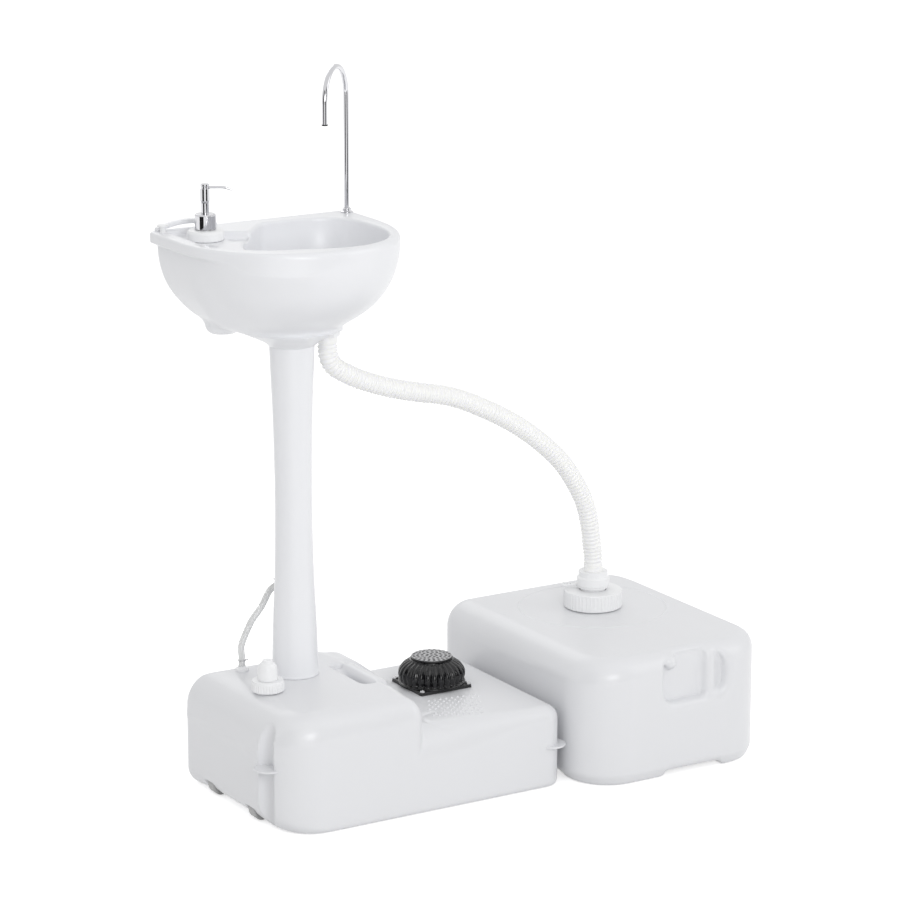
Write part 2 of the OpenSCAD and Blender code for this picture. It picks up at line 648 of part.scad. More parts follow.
pedestal_profile = [[0, 1], [0.022, 1], [0.08, 0.93], [0.165, 0.7], [0.3, 0.28], [0.45, 0.04], [0.56, 0]];
pedestal_upper = [[0.56, 0], [0.7, 0.12], [0.82, 0.4], [0.92, 0.75], [1, 1]];

module pedestal() color(white) translate([0, 0, deck_z]) difference() {
    lower = [for (p = pedestal_profile) [waist_r + (foot_r - waist_r) * p[1], pedestal_h * p[0]]];
    upper = [for (i = [1 : len(pedestal_upper) - 1]) let (p = pedestal_upper[i])
        [waist_r + (head_r - waist_r) * p[1], pedestal_h * p[0]]];
    side = concat(lower, upper);
    difference() {
        union() {
            rotate_extrude() polygon(concat([[0, 0]], side, [[0, pedestal_h]]));
            cylinder(r = foot_r + 0.6, h = 4);
        }
        translate([0, 0, -1]) cylinder(r = plug_r, h = socket_len + 2);
        translate([0, 0, socket_len]) cylinder(r = waist_r - pedestal_wall, h = pedestal_h - 2 * socket_len);
        translate([0, 0, pedestal_h - socket_len - 1]) cylinder(r = head_plug_r, h = socket_len + 2);
    }
    translate([0, 0, inlet_z - deck_z]) rotate([-90, 0, 0]) cylinder(r = 4.5 + seat_gap, h = 60);
}

module pedestal_inlet() color(white) translate([0, 0, inlet_z]) difference() {
    union() {
        translate([0, 13, 0]) rotate([-90, 0, 0]) cylinder(r = 4.5, h = 18);
        translate([0, inlet_y - 1.4, 0]) rotate([-90, 0, 0]) cylinder(r = 8, h = 2);
        translate([0, 13, 0]) sphere(r = 5.5);
        translate([0, 13, 0]) cylinder(r = riser_spigot_r, h = 14);
        translate([0, inlet_y, 0]) rotate([0, inlet_tilt, inlet_turn]) cylinder(r = supply_spigot_r, h = 16);
        translate([0, inlet_y, 0]) sphere(r = 4);
    }
    translate([0, 13, 0]) rotate([-90, 0, 0]) cylinder(r = 1.5, h = 18);
    translate([0, 13, 0]) cylinder(r = 1.5, h = 20);
    translate([0, inlet_y, 0]) rotate([0, inlet_tilt, inlet_turn]) cylinder(r = 1.5, h = 20);
}

module riser_hose() color(clear) tube(riser_route, riser_r, riser_bore, 8, 16);

module supply_hose() color(clear) tube(supply_route, supply_r, supply_bore, 8, 9);

// Two spring-wire clamps: one round the hose at the deck's fitting, one at the pedestal
module wire_clamp() {
    r = supply_r + 0.85;
    rotate_extrude() translate([r, 0]) circle(r = 0.8, $fn = 24);
    for (a = [60, 120]) rotate([0, 0, a]) translate([r, 0, 0]) rotate([0, 90, 0])
        cylinder(r = 0.8, h = 5.5, $fn = 24);
}

module hose_clamps() color(steel) {
    translate([outlet_at[0], outlet_at[1], deck_z + 15.5]) rotate([0, 0, 90]) wire_clamp();
    translate([0, inlet_y, inlet_z]) rotate([0, inlet_tilt, inlet_turn]) translate([0, 0, 11.5])
        rotate([0, 0, 140]) wire_clamp();
}

// ---------- basin ----------

// Outside of the basin: a round front, a straight back, and a fuller left end round the soap well
module body_form(w) {
    r = body_r - w;
    left = body_left - w;
    back = body_back - w;
    depth = body_depth - 2 * w;
    right_side = quarter(r, depth, 12, 2.05);
    left_side = quarter(left, depth, 12, 2.6);
    back_side = quarter(back, depth, 12, 2.6);
    translate([body_at[0], body_at[1], rim_z - w]) {
        rotate([0, 0, 180]) rotate_extrude(angle = 180) polygon(concat([[0, 0]], right_side));
        intersection() {
            translate([0, back + 1, 0]) rotate([90, 0, 0]) linear_extrude(back + 1)
                polygon(concat(right_side, mirrored(left_side)));
            translate([-left - 1, 0, 0]) rotate([90, 0, 90]) linear_extrude(left + r + 2)
                polygon(concat([[0, 0]], back_side));
        }
        intersection() {
            translate([0, 1, 0]) rotate([90, 0, 0]) linear_extrude(pod_reach + 2)
                polygon(concat([[0, 0], [0, -depth]], mirrored(left_side)));
            translate([-left - 1, 0, 0]) rotate([90, 0, 90]) linear_extrude(left + 2)
                polygon(concat([[1, 0], [1, -depth]], mirrored(quarter(pod_reach - w, depth, 12, 2))));
            translate([0, 0, -depth - 1]) linear_extrude(depth + 2)
                outline([-left, 1], [w - pod_reach, 2], [pod_reach - w, 0.5, 0.5, 0.5]);
        }
    }
}

module lip_form(w) {
    translate([0, 0, rim_z - lip_h + w]) linear_extrude(lip_h - 2 * w) lip_plan(w);
}

module bowl_form(w) {
    translate([bowl_at[0], bowl_at[1], rim_z]) d_bowl(bowl_r + w, bowl_back + w, bowl_depth + w);
}

module shelf_pocket(w) {
    slab([lip_left + 22 - w, -70 + w], [-38 - w, basin_back - 18 + w], [shelf_z - w, rim_z + 1], 12);
}

module sponge_pocket(w) {
    slab([lip_left + 25 - w, -108 + w], [8 - w, 40 + w], [shelf_z - 14 - w, shelf_z + 1], 8);
}

module soap_well(w) {
    translate([soap_at[0], soap_at[1], shelf_z - bottle_h - 2 - w])
        cylinder(r = bottle_r + 1 + w, h = bottle_h + 4 + w);
}

module basin() color(white) {
    hump_at = [soap_at[0] + 17, soap_at[1] - 11];
    difference() {
        union() {
            difference() {
                union() {
                    body_form(0);
                    lip_form(0);
                }
                body_form(basin_wall);
                lip_form(basin_wall);
            }
            intersection() {
                union() {
                    body_form(0);
                    lip_form(0);
                }
                union() {
                    bowl_form(basin_wall);
                    shelf_pocket(basin_wall);
                    sponge_pocket(basin_wall);
                    translate([drain_at[0], drain_at[1], sump_z - 5]) cylinder(r = strainer_r + 6, h = 5);
                }
            }
            soap_well(basin_wall);
            translate([drain_at[0], drain_at[1], boss_z]) cylinder(r = 22, h = 17);
            // Rounded lobe below the soap well
            translate([hump_at[0], hump_at[1], rim_z - body_depth + 3]) rotate_extrude()
                polygon([[0, 0], [8, 0.6], [14, 2.6], [19, 6.6], [21.5, 11.5], [22, 17], [22, 40], [0, 40]]);
            // Neck that stands on the pedestal, and its plug
            translate([0, 0, pedestal_top]) rotate_extrude()
                polygon([[0, 0], [head_r, 0], [head_r + 2.5, 1], [head_r + 6, 4.5], [head_r + 13, 9],
                         [head_r + 23, 14.5], [head_r + 23, 20], [0, 20]]);
            translate([0, 0, pedestal_top - socket_len]) cylinder(r = head_plug_r - plug_gap, h = socket_len + 1);
        }
        bowl_form(0);
        shelf_pocket(0);
        sponge_pocket(0);
        soap_well(0);
        translate([drain_at[0], drain_at[1], sump_z]) cylinder(r = strainer_r + 3, h = 20);
        translate([drain_at[0], drain_at[1], boss_z - 30]) cylinder(r = 24, h = 30);
        translate([drain_at[0], drain_at[1], boss_z - 40]) cylinder(r = hose_bore_r + 3 + seat_gap, h = 80);
        translate([0, 0, pedestal_top - socket_len - 1]) cylinder(r = head_plug_r - 6, h = socket_len + 32);
        translate([spout_at[0], spout_at[1], rim_z - 16]) cylinder(r = 6.5 + seat_gap, h = 26);
    }
}

// Arched rail over the back left of the rim, open below
module towel_rail() color(white) translate([0, basin_back - 4, rim_z]) rotate([90, 0, 0])
    linear_extrude(11) difference() {
        translate([rail_x, 13 - 136]) circle(r = 136, $fn = 180);
        intersection() {
            translate([rail_x, 13 - 136]) circle(r = 129.5, $fn = 180);
            translate([rail_x - 38, 0]) square([76, 20]);
        }
        translate([rail_x - 150, -300]) square([300, 300]);
        translate([rail_x - 200, -1]) square([153, 60]);
    }

module rim_peg() color(white) translate([lip_left + 14, basin_back - 24, rim_z]) {
    cylinder(r = 4, h = 9);
    translate([0, 0, 8.4]) cylinder(r = 8, h = 3);
}

module drain_strainer() color(white) translate([drain_at[0], drain_at[1], sump_z + 3.1]) difference() {
    union() {
        cylinder(r = strainer_r, h = 2);
        translate([0, 0, -6]) cylinder(r = hose_bore_r - 1, h = 7);
    }
    translate([0, 0, -7]) cylinder(r = hose_bore_r - 3, h = 7);
    for (i = [0 : 5]) rotate([0, 0, 60 * i]) translate([6, 0, -2]) cylinder(r = 1.8, h = 6);
    translate([0, 0, -2]) cylinder(r = 1.8, h = 6);
}

module drain_gasket() color(rubber) translate([drain_at[0], drain_at[1], 0])
    ring(hose_bore_r + 3.2, strainer_r - 1, [sump_z + seat_gap, sump_z + 1]);

module drain_tailpiece() color(white) translate([drain_at[0], drain_at[1], 0]) difference() {
    union() {
        translate([0, 0, sump_z + 1.05]) cylinder(r = strainer_r, h = 2);
        translate([0, 0, drain_nut_z]) cylinder(r = hose_bore_r + 3, h = sump_z + 2 - drain_nut_z);
        translate([0, 0, drain_nut_z - 16]) cylinder(r = spigot_r, h = 20);
    }
    translate([0, 0, drain_nut_z - 19]) cylinder(r = hose_bore_r - 2.5, h = 100);
    translate([0, 0, sump_z - 8]) cylinder(r = hose_bore_r - 1 + plug_gap, h = 20);
}

module drain_nut() color(white) translate([drain_at[0], drain_at[1], 0]) difference() {
    translate([0, 0, drain_nut_z]) cylinder(r = 18.5, h = boss_z - drain_nut_z - seat_gap, $fn = 8);
    translate([0, 0, drain_nut_z - 1]) cylinder(r = hose_bore_r + 3 + seat_gap, h = 30);
}

module drain_hose() color(clear) ribbed_hose(drain_route, hose_r, hose_bore_r, 6.2, 1.6, 8);

// ---------- spout ----------

module at_spout() translate([spout_at[0], spout_at[1], 0]) children();

module spout_base() color(steel) at_spout() difference() {
    union() {
        translate([0, 0, rim_z]) cylinder(r = 9, h = 2);
        translate([0, 0, rim_z + 1.5]) cylinder(r = 6.5, h = 5);
        translate([0, 0, rim_z - 15]) cylinder(r = 6.5, h = 17);
        translate([0, 0, rim_z - 27]) cylinder(r = riser_spigot_r, h = 14);
    }
    translate([0, 0, rim_z - 12]) cylinder(r = spout_r + run_gap, h = 40);
    translate([0, 0, rim_z - 28]) cylinder(r = 1.5, h = 40);
}

module spout_nut() color(steel) at_spout() difference() {
    translate([0, 0, rim_z - basin_wall - 4.5]) rotate([0, 0, 30]) cylinder(r = 8.4, h = 4.5 - seat_gap, $fn = 6);
    translate([0, 0, rim_z - basin_wall - 6]) cylinder(r = 6.5 + seat_gap, h = 10);
}

module spout_tube() color(steel) at_spout() rotate([0, 0, spout_turn]) {
    bore = spout_r - 0.8;
    top = rim_z + spout_rise;
    ring(bore, spout_r, [rim_z - 11.5, top], 48);
    translate([spout_bend_r, 0, top]) rotate([90, 0, 0]) rotate_extrude(angle = 180, $fn = 96)
        translate([spout_bend_r, 0]) difference() {
            circle(r = spout_r, $fn = 48);
            circle(r = bore, $fn = 48);
        }
    translate([2 * spout_bend_r, 0, 0]) ring(bore, spout_r, [top - spout_drop, top], 48);
}

module spout_aerator() color(black) at_spout() rotate([0, 0, spout_turn])
    translate([2 * spout_bend_r, 0, 0]) {
        z = rim_z + spout_rise - spout_drop;
        ring(2.2, spout_r + 0.4, [z - 2, z]);
        ring(2.2, spout_r - 0.8 - seat_gap, [z - 0.5, z + 8]);
    }

// ---------- soap dispenser ----------

neck_out_r = 12.9;
soap_ring_z = [shelf_z, shelf_z + 15];
soap_cap_z = [soap_ring_z[1] + 0.3, soap_ring_z[1] + 22];
stem_r = 5.5;
head_z = [soap_cap_z[1] + 15, soap_cap_z[1] + 42];
chamber_z = [shelf_z - 40, shelf_z + 27];

module at_soap() translate([soap_at[0], soap_at[1], 0]) children();

module soap_bottle() color(clear) at_soap() difference() {
    base = shelf_z - bottle_h;
    rotate_extrude() polygon([[0, base], [bottle_r - 2, base], [bottle_r, base + 2], [bottle_r, shelf_z - 10],
                              [neck_out_r, shelf_z - 2], [neck_out_r, shelf_z + 24], [0, shelf_z + 24]]);
    rotate_extrude() polygon([[0, base + 1.5], [bottle_r - 1.5, base + 1.5], [bottle_r - 1.5, shelf_z - 11],
                              [neck_out_r - 1.5, shelf_z - 3.5], [neck_out_r - 1.5, shelf_z + 25], [0, shelf_z + 25]]);
}

module soap_ring() color(white) at_soap() difference() {
    translate([0, 0, soap_ring_z[0]]) rotate_extrude()
        polygon([[0, 0], [ring_r - 1, 0], [ring_r, 2], [ring_r, 11], [ring_r - 2, 14], [ring_r - 5, 15], [0, 15]]);
    translate([0, 0, soap_ring_z[0] - 1]) cylinder(r = neck_out_r + seat_gap, h = 30);
}

module soap_cap() color(steel) at_soap() difference() {
    translate([0, 0, soap_cap_z[0]]) rotate_extrude()
        polygon([[0, 0], [soap_cap_r, 0], [soap_cap_r, 20], [soap_cap_r - 1.7, 21.7], [0, 21.7]]);
    translate([0, 0, soap_cap_z[0] - 1]) cylinder(r = neck_out_r + seat_gap, h = chamber_z[1] - soap_cap_z[0] + 1.1);
    translate([0, 0, soap_cap_z[0]]) cylinder(r = stem_r + run_gap, h = 30);
}

module soap_chamber() color(clear) at_soap() difference() {
    union() {
        translate([0, 0, shelf_z + 24.05]) cylinder(r = neck_out_r - 0.5, h = chamber_z[1] - shelf_z - 24.05);
        translate([0, 0, chamber_z[0]]) cylinder(r = 7.5, h = chamber_z[1] - chamber_z[0]);
    }
    translate([0, 0, chamber_z[0] + 3]) cylinder(r = stem_r + move_gap, h = 80);
    translate([0, 0, chamber_z[0] - 1]) cylinder(r = 2.5 + seat_gap, h = 10);
}

module soap_spring() color(steel) at_soap() translate([0, 0, chamber_z[0] + 3.05])
    spring(4.2, 0.5, 26, 7);

module soap_stem() color(steel) at_soap() {
    translate([0, 0, chamber_z[0] + 29.2]) cylinder(r = stem_r, h = head_z[0] - chamber_z[0] - 29.2);
    translate([0, 0, head_z[0] - 1]) cylinder(r = 3, h = 15);
}

module soap_head() color(steel) at_soap() difference() {
    union() {
        translate([0, 0, head_z[0]]) rotate_extrude()
            polygon([[0, 0.3], [5.2, 0.3], [6.7, 3], [6.7, 20], [5.2, 21], [5.2, 23], [6.2, 24], [6.2, 26], [5, 27], [0, 27]]);
        rotate([0, 0, -31]) {
            translate([4, 0, head_z[0] + 22]) rotate([0, 90, 0]) cylinder(r = 1.9, h = nozzle_len - 14);
            translate([nozzle_len - 11, 0, head_z[0] + 22]) rotate([0, 108, 0]) cylinder(r1 = 1.7, r2 = 1.2, h = 13);
        }
    }
    translate([0, 0, head_z[0] - 1]) cylinder(r = 3 + run_gap, h = 15.4);
}

module soap_dip_tube() color(clear) at_soap()
    ring(1.5, 2.5, [shelf_z - bottle_h + 4, chamber_z[0] + 3]);

// ---------- waste tank ----------

module waste_form(w) {
    block([waste_x[0] + w, waste_x[1] - w], [waste_y[0] + w, waste_y[1] - w], [8 + w, waste_h - w],
          [74 - w, 74 - w, 50 - w, 40 - w], [12 - w, 12 - w, 40 - w, 32 - w],
          [12 - w, 12 - w, 20 - w, 42 - w]);
}

handle_x = [waste_x[0] + 130, waste_x[0] + 237];
handle_z = [waste_h - 76, waste_h - 10];
handle_depth = 26;
post_x = handle_x[1] - 22;

module handle_pocket(w) {
    translate([0, waste_y[0] + handle_depth + w, 0]) rotate([90, 0, 0]) linear_extrude(handle_depth + w + 2)
        outline([handle_x[0] - w, handle_x[1] + w], [handle_z[0] - w, handle_z[1] + w],
                [12 + w, 12 + w, 12 + w, 12 + w]);
}

module waste_feet() intersection() {
    translate([0, 0, -1]) linear_extrude(16)
        outline([waste_x[0] + 9, waste_x[1] - 7], [waste_y[0] + 5, waste_y[1] - 9], [65, 65, 41, 31]);
    for (x = [[waste_x[0], waste_x[0] + 132], [waste_x[1] - 84, waste_x[1]]])
        for (y = [[waste_y[0], waste_y[0] + 80], [waste_y[1] - 80, waste_y[1]]])
            slab(x, y, [0, 14], 8);
}

module waste_tank() color(white) difference() {
    union() {
        difference() {
            union() {
                waste_form(0);
                waste_feet();
            }
            waste_form(tank_wall);
        }
        intersection() {
            waste_form(0);
            handle_pocket(tank_wall);
        }
        // Shallow raised ring round the neck
        translate([cap_at[0], cap_at[1], 0]) ring(109, 113, [waste_h - 1, waste_h + 1]);
        translate([cap_at[0], cap_at[1], waste_h - 2]) cylinder(r = neck_r, h = neck_top - waste_h + 2);
    }
    difference() {
        handle_pocket(0);
        translate([post_x, waste_y[0] + 10, 0]) cylinder(r = 9, h = waste_h);
    }
    translate([cap_at[0], cap_at[1], waste_h - 20]) cylinder(r = neck_r - 4, h = 60);
}

module at_cap() translate([cap_at[0], cap_at[1], 0]) children();

module waste_gasket() color(rubber) at_cap() ring(neck_r - 7, neck_r, [neck_top + seat_gap, flange_z - seat_gap]);

module waste_adapter() color(white) at_cap() difference() {
    union() {
        translate([0, 0, flange_z]) cylinder(r = neck_r, h = washer_z - flange_z - seat_gap);
        translate([0, 0, flange_z]) cylinder(r = 19, h = collar_z[0] - flange_z);
        translate([0, 0, collar_z[0] - 1]) cylinder(r = spigot_r, h = collar_z[1] + 13 - collar_z[0]);
    }
    translate([0, 0, flange_z - 1]) cylinder(r = hose_bore_r - 2.5, h = 100);
}

module waste_washer() color(grey) at_cap() ring(21, neck_r, [washer_z, ring_z[1] - 4 - seat_gap]);

module waste_ring() color(white) at_cap() {
    ribbed_ring(neck_r + move_gap, waste_ring_r, ring_z, 48);
    ring(20, neck_r + 2, [ring_z[1] - 4, ring_z[1]]);
}

module hose_collar() color(white) at_cap() difference() {
    translate([0, 0, collar_z[0]]) rotate_extrude()
        polygon([[0, 0], [collar_r, 0], [collar_r, 12], [collar_r - 2.5, 14], [collar_r - 2.5, collar_z[1] - collar_z[0]],
                 [0, collar_z[1] - collar_z[0]]]);
    translate([0, 0, collar_z[0] - 1]) cylinder(r = spigot_r + seat_gap, h = 60);
}

// Strap that would hold a spare stopper, hung from the adapter's stem
module cap_tether() color(white) at_cap() {
    z = [ring_z[1] + ring_lift + 0.6, ring_z[1] + ring_lift + 3.6];
    ring(19 + seat_gap, 23, z);
    rotate([0, 0, 140]) {
        translate([21, -3, z[0]]) cube([14, 6, 3]);
        translate([41, 0, 0]) ring(4, 8, z);
    }
}

fresh_tank();
wheel_front();
wheel_rear();
wheel_axles();
filler_gasket();
filler_cap();
vent_cap();
outlet_fitting();
outlet_nut();
dip_tube();
dip_strainer();
pump_gasket();
pump_plate();
pump_screws();
pump_valve();
pump_spring();
pump_bellows();
pump_tread();
pedestal();
pedestal_inlet();
riser_hose();
supply_hose();
hose_clamps();
basin();
towel_rail();
rim_peg();
drain_strainer();
drain_gasket();
drain_tailpiece();
drain_nut();
drain_hose();
spout_base();
spout_nut();
spout_tube();
spout_aerator();
soap_bottle();
soap_ring();
soap_cap();
soap_chamber();
soap_spring();
soap_stem();
soap_head();
soap_dip_tube();
waste_tank();
waste_gasket();
waste_adapter();
waste_washer();
waste_ring();
hose_collar();
cap_tether();
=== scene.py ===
"""Looks of the camp wash stand: two white blow-moulded tanks, a pedestal with its basin,
a foot pump, a chrome spout, a soap dispenser and two hoses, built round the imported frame.

Sizes inside the builders are in millimetres, and add_piece turns them into metres. The inputs
of the node trees are in metres."""

import math

import bmesh
import bpy
import numpy as np
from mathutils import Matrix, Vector


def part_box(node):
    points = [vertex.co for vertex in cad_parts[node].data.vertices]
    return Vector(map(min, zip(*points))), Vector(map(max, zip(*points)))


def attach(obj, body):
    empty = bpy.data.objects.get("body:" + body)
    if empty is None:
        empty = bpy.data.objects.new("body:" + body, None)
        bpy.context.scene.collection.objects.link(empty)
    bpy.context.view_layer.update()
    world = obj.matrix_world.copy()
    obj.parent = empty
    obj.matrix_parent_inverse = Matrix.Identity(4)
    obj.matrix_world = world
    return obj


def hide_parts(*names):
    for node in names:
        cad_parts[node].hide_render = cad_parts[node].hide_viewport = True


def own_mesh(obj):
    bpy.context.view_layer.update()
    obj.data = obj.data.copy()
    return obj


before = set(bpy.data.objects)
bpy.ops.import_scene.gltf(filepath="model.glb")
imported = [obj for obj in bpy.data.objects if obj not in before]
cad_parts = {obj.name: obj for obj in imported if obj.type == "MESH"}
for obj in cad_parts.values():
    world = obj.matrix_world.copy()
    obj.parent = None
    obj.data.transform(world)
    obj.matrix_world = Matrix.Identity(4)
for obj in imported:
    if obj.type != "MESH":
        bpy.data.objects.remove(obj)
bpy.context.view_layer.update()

bl_info = {
    "name": "Camp wash stand",
    "version": (1, 0, 0),
    "blender": (4, 5, 0),
    "location": "View3D > Sidebar > Wash stand",
    "description": "Builds the visible pieces of a camp wash stand round its packed frame",
    "category": "Add Mesh",
}

MM = 0.001
STAND = "stand"


# ---------- places, in millimetres, taken from the frame ----------

def node_box(name):
    low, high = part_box(name)
    return [c / MM for c in low], [c / MM for c in high]


def node_middle(name):
    low, high = node_box(name)
    return [(a + b) / 2 for a, b in zip(low, high)]


WASTE_LOW, WASTE_HIGH = node_box("waste_tank")
BASIN_LOW, BASIN_HIGH = node_box("basin")
PUMP_X, PUMP_Y = node_middle("pump_tread")[:2]
FILLER_X, FILLER_Y = node_middle("filler_gasket")[:2]
OUTLET_X, OUTLET_Y = node_middle("outlet_fitting")[:2]
DRAIN_X, DRAIN_Y = node_middle("drain_strainer")[:2]
SOAP_X, SOAP_Y = node_middle("soap_ring")[:2]
NECK_X, NECK_Y = node_middle("waste_gasket")[:2]
SPOUT_X, SPOUT_Y = node_middle("spout_base")[:2]
PEG_X, PEG_Y = node_middle("rim_peg")[:2]
WHEEL_BOXES = {name: node_box(name) for name in ("wheel_front", "wheel_rear")}

# Fresh tank: its block, the decks it carries, and the crescent on its step
TANK_X, TANK_Y = (-129.0, 329.0), (-198.0, 107.0)
DECK_Z = 170.0
STEP_Z = 120.0
CRESCENT_X, CRESCENT_Y, CRESCENT_R = 152, -152, 27
WELL_GAP = 2.0

# Waste tank: its block without its neck
WASTE_X, WASTE_Y = (WASTE_LOW[0], WASTE_HIGH[0]), (WASTE_LOW[1], WASTE_HIGH[1])
WASTE_Z = 187.0
WASTE_PLAN = (74, 74, 50, 40)

# Basin: the round front of its rim, and its heights
RIM_Z = BASIN_HIGH[2]
SHELF_Z = RIM_Z - 8
RIM_R = (BASIN_HIGH[0] - BASIN_LOW[0]) / 2
RIM_X, RIM_Y = BASIN_LOW[0] + RIM_R, BASIN_LOW[1] + RIM_R

# Pedestal, foot pump, soap pump and hoses
PEDESTAL_HIGH = 480.0
WAIST_R = 26.5
BELLOWS_R, BELLOWS_Z, BELLOWS_HIGH, TREAD_TRAVEL = 49.0, 125.0, 36.0, 22.0
BELLOWS_SIDE = [(1, 0), (1, .05), (.965, .09), (.97, .18), (.99, .28), (1, .38), (.99, .48), (.965, .57),
                (.925, .66), (.85, .77), (.75, .86), (.66, .93), (.64, 1)]
DRAIN_HOSE_R = 14.5
SUPPLY_R, SUPPLY_BORE = 4.75, 3.3

DRAIN_ROUTE = [
    (57, 0, 656.5), (57, 0, 642), (57.5, 0, 632), (60, 0, 621.5), (67, 0, 611.5), (78, 0, 603.5),
    (94, 0, 594.5), (110, 0, 586.7), (142.6, 0, 574), (175.5, 0, 564), (208.7, 0, 555.7),
    (242, 0, 548.5), (275.8, 0, 537.5), (309.7, 0, 521.7), (343.9, 0, 504), (378.5, 0, 482.5),
    (413, 0.5, 456.5), (448.6, 1.5, 423.5), (474, 3, 389.8), (493.5, 5, 355.5), (504.5, 7, 323),
    (510.5, 9, 291), (514, 10, 270.5), (515, 10, 257), (515, 10, 243.05)]
INLET = np.array([0.0, 31.0, 300.0])
INLET_WAY = np.array([-0.4797, 0.6603, -0.5779])
SUPPLY_ROUTE = [
    (-59.5, 50, 178), (-59.5, 50, 185), (-59.7, 50, 192), (-60.2, 50.4, 199.5), (-59.4, 51, 207),
    (-56, 52, 215), (-51.6, 52, 223.5), (-47.5, 52, 231.5), (-42.5, 52, 240), (-36.4, 52, 247.5),
    (-29, 52, 255.5), (-22.8, 52, 264), (-18.3, 51.5, 272.5), (-14.6, 49.6, 280.5),
    *[tuple(INLET + d * INLET_WAY) for d in (22, 14, 7)]]


# ---------- settings ----------

class WashStandSizes(bpy.types.PropertyGroup):
    """Sizes that change how fine or how deep the moulded detail is"""

    tank_step: bpy.props.FloatProperty(
        name="Tank mesh step", description="Spacing of the mesh on the two tanks",
        default=0.0029, min=0.0015, max=0.008, unit="LENGTH")
    basin_step: bpy.props.FloatProperty(
        name="Basin mesh step", description="Spacing of the mesh on the basin",
        default=0.0022, min=0.0015, max=0.006, unit="LENGTH")
    hose_pitch: bpy.props.FloatProperty(
        name="Hose rib pitch", description="Distance from one rib of the drain hose to the next",
        default=0.0062, min=0.003, max=0.012, unit="LENGTH")
    hose_depth: bpy.props.FloatProperty(
        name="Hose rib depth", description="Height of a rib above the valley beside it",
        default=0.0019, min=0.0005, max=0.004, unit="LENGTH")
    flutes: bpy.props.IntProperty(
        name="Bellows flutes", description="Upright flutes round the foot pump's bellows",
        default=28, min=8, max=80)
    cap_ribs: bpy.props.IntProperty(
        name="Cap ribs", description="Grip ribs round the filler cap", default=36, min=12, max=90)
    ring_ribs: bpy.props.IntProperty(
        name="Ring ribs", description="Grip ribs round the waste tank's screw ring",
        default=48, min=12, max=90)


class WashStandColours(bpy.types.PropertyGroup):
    """Colours of the finishes, as linear values"""

    white: bpy.props.FloatVectorProperty(
        name="Moulded white", description="Colour of the two tanks",
        default=(0.780, 0.786, 0.806), min=0, max=1, size=3, subtype="COLOR")
    basin: bpy.props.FloatVectorProperty(
        name="Basin white", description="Colour of the basin and the pedestal",
        default=(0.845, 0.852, 0.875), min=0, max=1, size=3, subtype="COLOR")
    cap_white: bpy.props.FloatVectorProperty(
        name="Cap white", description="Colour of the caps, rings and fittings",
        default=(0.885, 0.89, 0.90), min=0, max=1, size=3, subtype="COLOR")
    milky: bpy.props.FloatVectorProperty(
        name="Milky white", description="Colour of the ribbed hose and the soap bottle",
        default=(0.94, 0.94, 0.935), min=0, max=1, size=3, subtype="COLOR")
    black: bpy.props.FloatVectorProperty(
        name="Bellows black", description="Colour of the foot pump's bellows",
        default=(0.005, 0.005, 0.006), min=0, max=1, size=3, subtype="COLOR")
    # The tread colour is a painted sheen: the grey stands for the bright surroundings mirrored in the
    # black rubber's top.
    tread: bpy.props.FloatVectorProperty(
        name="Tread painted sheen grey", description="Colour of the dimpled tread",
        default=(0.40, 0.40, 0.41), min=0, max=1, size=3, subtype="COLOR")


def sizes():
    return bpy.context.scene.wash_stand_sizes


def colours():
    return bpy.context.scene.wash_stand_colours


# ---------- shapes as fields: below zero inside, in millimetres ----------

def rect(u, v, ur, vr, radii):
    """Distance to an upright rectangle whose corner radii run from its low corner round."""
    cu, cv = (ur[0] + ur[1]) / 2, (vr[0] + vr[1]) / 2
    r = np.where(u > cu, np.where(v > cv, radii[2], radii[1]), np.where(v > cv, radii[3], radii[0]))
    a = np.abs(u - cu) - ((ur[1] - ur[0]) / 2 - r)
    b = np.abs(v - cv) - ((vr[1] - vr[0]) / 2 - r)
    return np.minimum(np.maximum(a, b), 0) + np.hypot(np.maximum(a, 0), np.maximum(b, 0)) - r


def facing(u, v, ur, vr, soft):
    """How much a point belongs to the right, back, left and front side of a rectangle."""
    cu, cv = (ur[0] + ur[1]) / 2, (vr[0] + vr[1]) / 2
    a = np.maximum(np.abs(u - cu) - ((ur[1] - ur[0]) / 2 - soft), 0.01)
    b = np.maximum(np.abs(v - cv) - ((vr[1] - vr[0]) / 2 - soft), 0.01)
    w = a ** 2 / (a ** 2 + b ** 2)
    return w * (u > cu), (1 - w) * (v > cv), w * (u <= cu), (1 - w) * (v <= cv)


def roll_over(d, z, top, r):
    """Rounds the edge between a wall at distance d and a level top."""
    a, b = d + r, z - (top - r)
    return np.minimum(np.maximum(a, b), 0) + np.hypot(np.maximum(a, 0), np.maximum(b, 0)) - r


def puck(x, y, z, xr, yr, zr, plan, top, bottom):
    """Moulded block: plan corner radii, and its own top and bottom edge radius to each side."""
    d = rect(x, y, xr, yr, plan)
    share = facing(x, y, xr, yr, 85)
    over = sum(w * t for w, t in zip(share, top))
    under = sum(w * t for w, t in zip(share, bottom))
    return np.maximum(roll_over(d, z, zr[1], over), roll_over(d, -z, -zr[0], under))


def smin(a, b, k):
    h = np.maximum(k - np.abs(a - b), 0) / np.maximum(k, 1e-6)
    return np.minimum(a, b) - h * h * k / 4


def smax(a, b, k):
    return -smin(-a, -b, k)


def rise(v, low, high):
    t = np.clip((v - low) / (high - low), 0, 1)
    return t * t * (3 - 2 * t)


